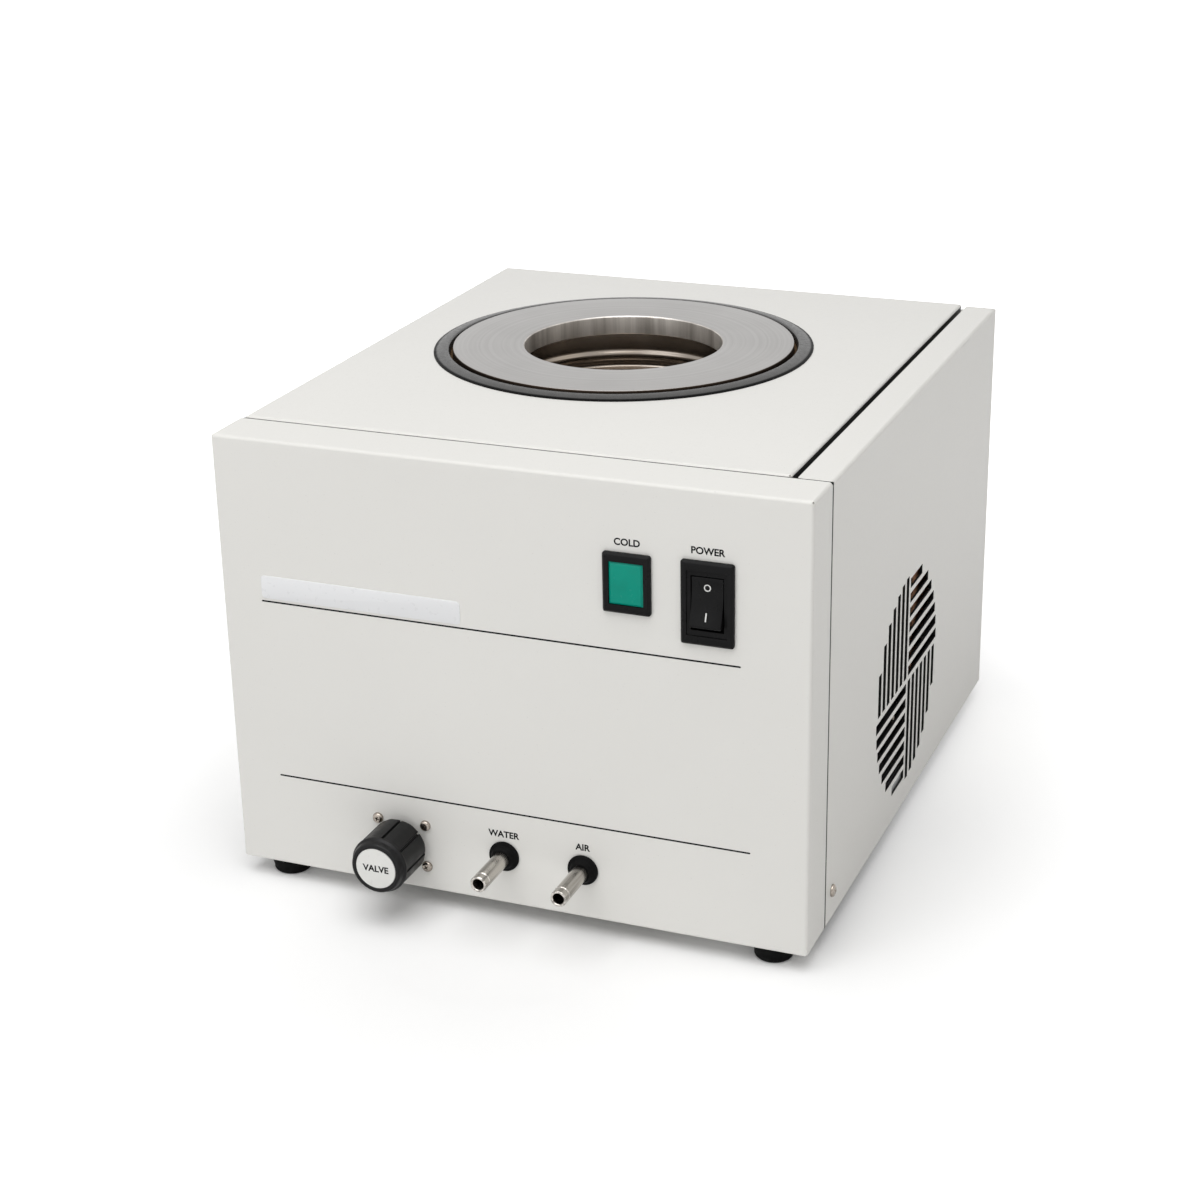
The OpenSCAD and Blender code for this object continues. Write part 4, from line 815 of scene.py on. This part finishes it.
def screw_seats(node):
    """Each screw of a node as (seat, direction, head radius, length), in metres."""
    seats = []
    for low, high in solids_of(node):
        size, centre = high - low, (low + high) / 2
        axis = max(range(3), key=lambda i: size[i])
        sign = 1 if centre[axis] > CABINET_MIDDLE[axis] else -1
        direction = Vector([sign if i == axis else 0 for i in range(3)])
        top = centre + direction * size[axis] / 2
        seats.append((top - direction * HEAD_HEIGHT, direction, size[(axis + 1) % 3] / 2,
                      size[axis] - HEAD_HEIGHT))
    return seats


def grow_screws(node, shank_radius, seed):
    groups = {}
    for seat in screw_seats(node):
        groups.setdefault(round(seat[2] / MM, 1), []).append(seat)
    bm = bmesh.new()
    for radius, seats in sorted(groups.items()):
        base = bpy.data.meshes.new("seats")
        base.from_pydata([seat[0] for seat in seats], [], [])
        facing = base.attributes.new("outwards", "FLOAT_VECTOR", "POINT")
        facing.data.foreach_set("vector", [c for seat in seats for c in seat[1]])
        bm.from_mesh(screws.grow(base, HeadRadius=radius * MM, HeadHeight=HEAD_HEIGHT, Seed=seed,
                                 ShankRadius=shank_radius * MM, ShankLength=seats[0][3],
                                 Finish=finishes["screw_steel"]))
    add_piece(node + "_piece", to_mesh(bm, node + "_heads", 32), body_of[node], "screw_steel", node)


grow_screws("cover_screws", 1.6, 3)
grow_screws("valve_screws", 1.5, 11)
grow_screws("fan_screws", 1.5, 5)
grow_screws("foot_screws", 2.0, 7)

# %% [markdown]
# ## The drain valve's knob
# The knob is a moulded handle with narrow grooves between broad ribs. The grooves run from the back and
# stop short of a smooth front collar. The body is turned, and Set Position then presses each point
# of its wall inwards by a rule that depends on the angle to the nearest groove.

# %% Press the grooves into the knob
knob = Grower("grooved_knob", Axis="Vector", Radius="Float", Grooves="Float", Phase="Float", Width="Float",
              Depth="Float", Stop="Float", Crown="Float", Finish="Material")
given, calc, times = knob.given, knob.calc, knob.times
offset = knob.node("ShaderNodeVectorMath", {"operation": "SUBTRACT"})
knob.feed(offset.inputs[0], knob.node("GeometryNodeInputPosition").outputs[0])
knob.feed(offset.inputs[1], given["Axis"])
x, y, z = knob.split(offset.outputs[0])
out, radius = times(y, -1.0), knob.length(x, z)
turned_by = calc("DIVIDE", calc("ARCTAN2", z, x), 2 * math.pi)
# A cell is one groove with half a rib on each side. Twenty whole cells keep the number above zero.
cell = calc("FRACT", calc("ADD", calc("SUBTRACT", times(turned_by, given["Grooves"]), given["Phase"]), 20.5))
off_cell = calc("ABSOLUTE", calc("SUBTRACT", cell, 0.5))
pitch = calc("DIVIDE", times(given["Radius"], 2 * math.pi), given["Grooves"])
past = calc("MAXIMUM", calc("SUBTRACT", out, given["Stop"]), 0.0)
away, half = knob.length(times(off_cell, pitch), past), times(given["Width"], 0.5)
press = knob.span(away, times(half, 0.45), half, given["Depth"], 0.0, interpolation_type="SMOOTHSTEP")
before_stop = calc("LESS_THAN", out, calc("ADD", given["Stop"], half))
bow = calc("SUBTRACT", 1.0, calc("POWER", times(off_cell, 2.0), 2.0))
inwards = calc("ADD", press, times(given["Crown"], bow, before_stop))
wall = knob.span(radius, calc("SUBTRACT", given["Radius"], 3.2 * MM),
                 calc("SUBTRACT", given["Radius"], 1.2 * MM), 0.0, 1.0, interpolation_type="SMOOTHSTEP")
pull = calc("DIVIDE", times(inwards, wall, -1.0), calc("MAXIMUM", radius, 1.0 * MM))
knob.end(knob.made("SetPosition", Geometry=given["Geometry"],
                   Offset=knob.vector(times(x, pull), 0.0, times(z, pull))))

# %% Turn the knob's body
knob_axis = on_front("drain_knob")
low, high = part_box("drain_knob")
r, back, face = radius_of("drain_knob"), (front_y - high.y) / MM, (front_y - low.y) / MM
stop = face - 7
collar = [(r - 0.05, face - 5.1), (r - 0.35, face - 4.6), (r - 1.0, face - 4.1), (r - 1.3, face - 3.7),
          (r - 1.35, face - 3.3), (r - 1.6, face - 2.2), (r - 1.85, face - 1.2), (r - 2.1, face - 0.5),
          (r - 2.6, face - 0.1), (r - 3.1, face), (r - 4.4, face), (r - 4.7, face - 0.25)]
wall = [(r, back + 2 + k * 1.6) for k in range(int((stop - back - 4) / 1.6))]
wall += [(r, stop - 1.5 + 0.25 * k) for k in range(14)]
section = [(5.05, back), (r - 2.2, back), (r - 1.4, back + 0.15), (r - 0.6, back + 0.6),
           (r - 0.15, back + 1.3), *wall, *collar, (r - 4.7, face - 1.2), (0, face - 1.2), (0, face - 4),
           (7.2, face - 4), (7.2, back + 18), (5.05, back + 18)]

# %% Run the tree on it
GROOVES, PHASE = 8, 0.85
near = [sign * a for a in (0.5, 1.0, 1.4, 1.8, 2.2, 2.7, 3.3, 4.2) for sign in (-1, 1)]
angles = [2 * math.pi * (i + PHASE) / GROOVES + math.radians(a) for i in range(GROOVES)
          for a in (0, *near, 8, 13, 18, 22.5, 27, 32, 37)]
body = lathe("knob_body", section, knob_axis, FACING_FRONT, sorted(angles), 50)
body = knob.grow(body, Axis=knob_axis, Radius=r * MM, Grooves=float(GROOVES), Phase=PHASE, Width=1.7 * MM,
                 Depth=1.6 * MM, Stop=stop * MM, Crown=0.25 * MM, Finish=finishes["knob_plastic"])
add_piece("grooved_knob", body, "knob", "knob_plastic", "drain_knob")

r, cap_y = radius_of("knob_cap"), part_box("knob_cap")[0].y
face = (front_y - cap_y) / MM
section = [(0, face - 1.15), (r, face - 1.15), (r, face - 0.35), (r - 0.15, face - 0.1), (r - 0.45, face),
           (0, face)]
cap = lathe("white_disc", section, knob_axis, FACING_FRONT, 72)
add_piece("white_disc", cap, "knob", "cap_plastic", "knob_cap")

# %% [markdown]
# ## Pilot lamp, switch and plate
# These are small mouldings with soft edges: a bevelled bezel round a green lens, a rocker in a
# stepped well, and the mains inlet at the back. The solids have their forms, so copies with rounded
# edges finish them. The width is about what a mould of that size leaves. The plate is a thin film, cut
# with round corners.

# %% Round the small mouldings
dress_rounded("lamp_bezel", 0.45, 3, 20)
dress_rounded("lamp_lens", 0.8, 2, 20)
dress_rounded("switch_housing", 0.45, 3, 20)
dress_rounded("switch_rocker", 0.35, 3, 20)
dress_rounded("mains_inlet", 0.25, 2, 30)

# %% Cut the film plate
low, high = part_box("label_plate")
bm = bmesh.new()
add_block(bm, low, high)
corners = [e for e in bm.edges if abs(e.verts[0].co.y - e.verts[1].co.y) > 0.1 * MM]
bmesh.ops.bevel(bm, geom=corners, offset=2.2 * MM, segments=6, profile=0.5, affect="EDGES")
rim = [e for e in bm.edges if max(v.co.y for v in e.verts) < low.y + 0.01 * MM]
bmesh.ops.bevel(bm, geom=rim, offset=0.2 * MM, segments=2, profile=0.5, affect="EDGES")
add_piece("film_plate", to_mesh(bm, "film_plate"), "cabinet", "label_white", "label_plate")

# %% [markdown]
# ## Condenser fins
# Behind the grille a block of thin aluminium plates stands on the condenser's tubes. The solid has a
# few plates at a wide pitch. Here one plate is pierced for its tubes, and Mesh Line and Instance on
# Points repeat it at the real pitch, with a small random turn, since fins are bent by every touch.

# %% Repeat the fins
FIN_WIDE, FIN_THICK, FIN_TALL = 28 * MM, 0.22 * MM, 124 * MM
TUBE_R, ROW_GAP, ROWS_TALL = 4.1 * MM, 14 * MM, 99.2 * MM
fins = Grower("condenser_fins", Count="Int", Pitch="Float", Start="Vector", Seed="Int", Lean="Float",
              Finish="Material")
given = fins.given
line = fins.made("MeshLine", Count=given["Count"], Start_Location=given["Start"],
                 Offset=fins.vector(0.0, given["Pitch"], 0.0))
plate = fins.made("MeshCube", Size=(FIN_WIDE, FIN_THICK, FIN_TALL))
tube = fins.made("MeshCylinder", Vertices=12, Radius=TUBE_R, Depth=2 * MM)
rows = fins.made("MeshGrid", Size_X=ROW_GAP, Size_Y=ROWS_TALL, Vertices_X=2, Vertices_Y=5)
tubes = fins.made("RealizeInstances", Geometry=fins.made("InstanceOnPoints", Points=rows, Instance=tube))
upright = fins.made("Transform", Geometry=tubes, Rotation=(math.radians(90), 0, 0))
lean = fins.chance(fins.times(given["Lean"], -1.0), given["Lean"])
fins.end(fins.join(fins.made("InstanceOnPoints", Points=line, Instance=fins.cut(plate, upright),
                             Rotation=fins.vector(0.0, 0.0, lean)), given["Geometry"]))

# %% Set the fins between their end plates
PITCH, END_THICK, END_ROOM = 1.45 * MM, 1.4 * MM, 5.4 * MM
low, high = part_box("condenser_fins")
count = int((high.y - low.y - END_ROOM) / PITCH)
start = Vector((high.x - FIN_WIDE / 2, centre_of("condenser_fins").y - PITCH * (count - 1) / 2,
                centre_of("condenser_coil").z))
bm = bmesh.new()
for y in (low.y, high.y - END_THICK):
    add_block(bm, (low.x, y, low.z), (high.x, y + END_THICK, high.z))
block = fins.grow(to_mesh(bm, "fin_ends"), Count=count, Pitch=PITCH, Start=start, Seed=4,
                  Lean=math.radians(0.6), Finish=finishes["fin_alu"])
add_piece("fin_block", block, "cabinet", "fin_alu", "condenser_fins")
print("fins:", count)

# %% [markdown]
# ## Print on the panel
# The legends are screen print: flat, sharp and matt. Blender's own font is extruded a hair, made a
# mesh and set just proud of the paint. The words here are plain generic ones. Two printed lines divide
# the front. The rocker's ring and bar follow its hollow face, so they are bent to its curve.


# %% Mix the inks
def mixed_ink(name, colour, roughness, gloss, grain, start, worn):
    ink = Finish(name, colour, roughness, gloss=gloss)
    ink.tint(ink.span(ink.noise(grain, 3.0), start, 0.75, 0.0, 0.5), worn)
    ink.relief(ink.noise(0.2), 0.004, 0.5)
    finishes[name] = ink.material


mixed_ink("black_ink", (0.006, 0.006, 0.007), 0.55, 0.12, 0.7, 0.55, (0.02, 0.02, 0.022))
mixed_ink("white_ink", (0.78, 0.78, 0.76), 0.45, 0.2, 0.6, 0.5, (0.6, 0.6, 0.58))
PROUD, ROOT = 0.05 * MM, 0.03 * MM
CAP_HEIGHT, WEIGHT = 4.2 * MM, 0.03


# %% Print a word
def word_mesh(words, stretch):
    """A word as a thin mesh about its own centre, lying in XY."""
    curve = bpy.data.curves.new(words, "FONT")
    curve.body, curve.align_x, curve.align_y = words, "CENTER", "CENTER"
    curve.size, curve.extrude, curve.offset, curve.resolution_u = 1.0, 0.1, WEIGHT, 6
    holder = bpy.data.objects.new("words", curve)
    scene.collection.objects.link(holder)
    mesh = settled(holder)
    xs, ys = [v.co.x for v in mesh.vertices], [v.co.y for v in mesh.vertices]
    scale = CAP_HEIGHT / (max(ys) - min(ys))
    mid_x, mid_y = (min(xs) + max(xs)) / 2, (min(ys) + max(ys)) / 2
    for v in mesh.vertices:
        v.co = ((v.co.x - mid_x) * scale * stretch, (v.co.y - mid_y) * scale, PROUD if v.co.z > 0 else -ROOT)
    return mesh


def print_word(name, words, at, body="cabinet", stretch=1.0):
    mesh = word_mesh(words, stretch)
    mesh.transform(Matrix.Translation(at) @ FACING_FRONT)
    add_piece(name, mesh, body, "black_ink")


for name, words, node, height in (("lamp_word", "COLD", "lamp_bezel", 235.9),
                                  ("switch_word", "POWER", "switch_housing", 236.4),
                                  ("drain_word", "WATER", "drain_spigot", 45.5),
                                  ("vacuum_word", "AIR", "vacuum_spigot", 45.8)):
    print_word(name, words, Vector((centre_of(node).x, front_y, base_z + height * MM)))
print_word("knob_word", "VALVE", Vector((knob_axis.x, cap_y, knob_axis.z)), "knob", 1.02)


# %% Rule the two lines
def printed_line(name, x0, x1, z, thick=1.0):
    outline = []
    for cx, start in ((x1, -90), (x0, 90)):
        for a in [math.radians(start + 30 * k) for k in range(7)]:
            outline.append((cx + thick / 2 * math.cos(a), z + thick / 2 * math.sin(a)))
    bm = bmesh.new()
    back, fore = [[bm.verts.new((x * MM, y, base_z + z_at * MM)) for x, z_at in outline]
                  for y in (front_y + ROOT, front_y - PROUD)]
    bm.faces.new(back)
    bm.faces.new(fore)
    for k in range(len(outline)):
        j = (k + 1) % len(outline)
        bm.faces.new((back[k], back[j], fore[j], fore[k]))
    bmesh.ops.recalc_face_normals(bm, faces=bm.faces)
    add_piece(name, to_mesh(bm, name), "cabinet", "black_ink")


printed_line("upper_line", -153.6, 139.6, 172)
printed_line("lower_line", -150.1, 145.6, 60)

# %% Mark the rocker
pivot = Vector(named(frame["joints"], "mains_rocker")["pos_m"])
pivot.x = centre_of("switch_rocker").x
REACH, FRONT, DISH = 12.9, 7.8, 1.8
PRESSED = Matrix.Rotation(math.radians(-10), 4, "X")


def bent_to_rocker(outlines, faces_of, name):
    """Two skins of the same faces, one just above the rocker's hollow face and one just below it."""
    bm = bmesh.new()
    layers = []
    for lift_by in (0.12, -0.1):
        layer = []
        for x, z in outlines:
            hollow = DISH * (1 - (z / REACH) ** 2)
            layer.append(bm.verts.new(PRESSED @ Vector((x, -(FRONT - hollow + lift_by), z)) * MM + pivot))
        layers.append(layer)
    upper, lower = layers
    for loop in faces_of:
        bm.faces.new([upper[i] for i in loop])
        bm.faces.new([lower[i] for i in reversed(loop)])
    for link in [e for e in bm.edges if len(e.link_faces) == 1 and all(v in upper for v in e.verts)]:
        i, j = [upper.index(v) for v in link.verts]
        bm.faces.new((upper[i], upper[j], lower[j], lower[i]))
    bmesh.ops.recalc_face_normals(bm, faces=bm.faces)
    add_piece(name, to_mesh(bm, name), "rocker", "white_ink")


RING_Z, RING_OUT, RING_IN, STEPS = 8.2, 2.0, 1.4, 32
ring = [(r * math.cos(a), RING_Z + r * math.sin(a)) for a in [2 * math.pi * k / STEPS for k in range(STEPS)]
        for r in (RING_OUT, RING_IN)]
ends = [(2 * k, 2 * ((k + 1) % STEPS)) for k in range(STEPS)]
bent_to_rocker(ring, [(a, b, b + 1, a + 1) for a, b in ends], "off_ring")
bar = [(x, -10.4 + 0.6 * i) for i in range(9) for x in (-0.38, 0.38)]
bent_to_rocker(bar, [(2 * i, 2 * i + 1, 2 * i + 3, 2 * i + 2) for i in range(8)], "on_bar")
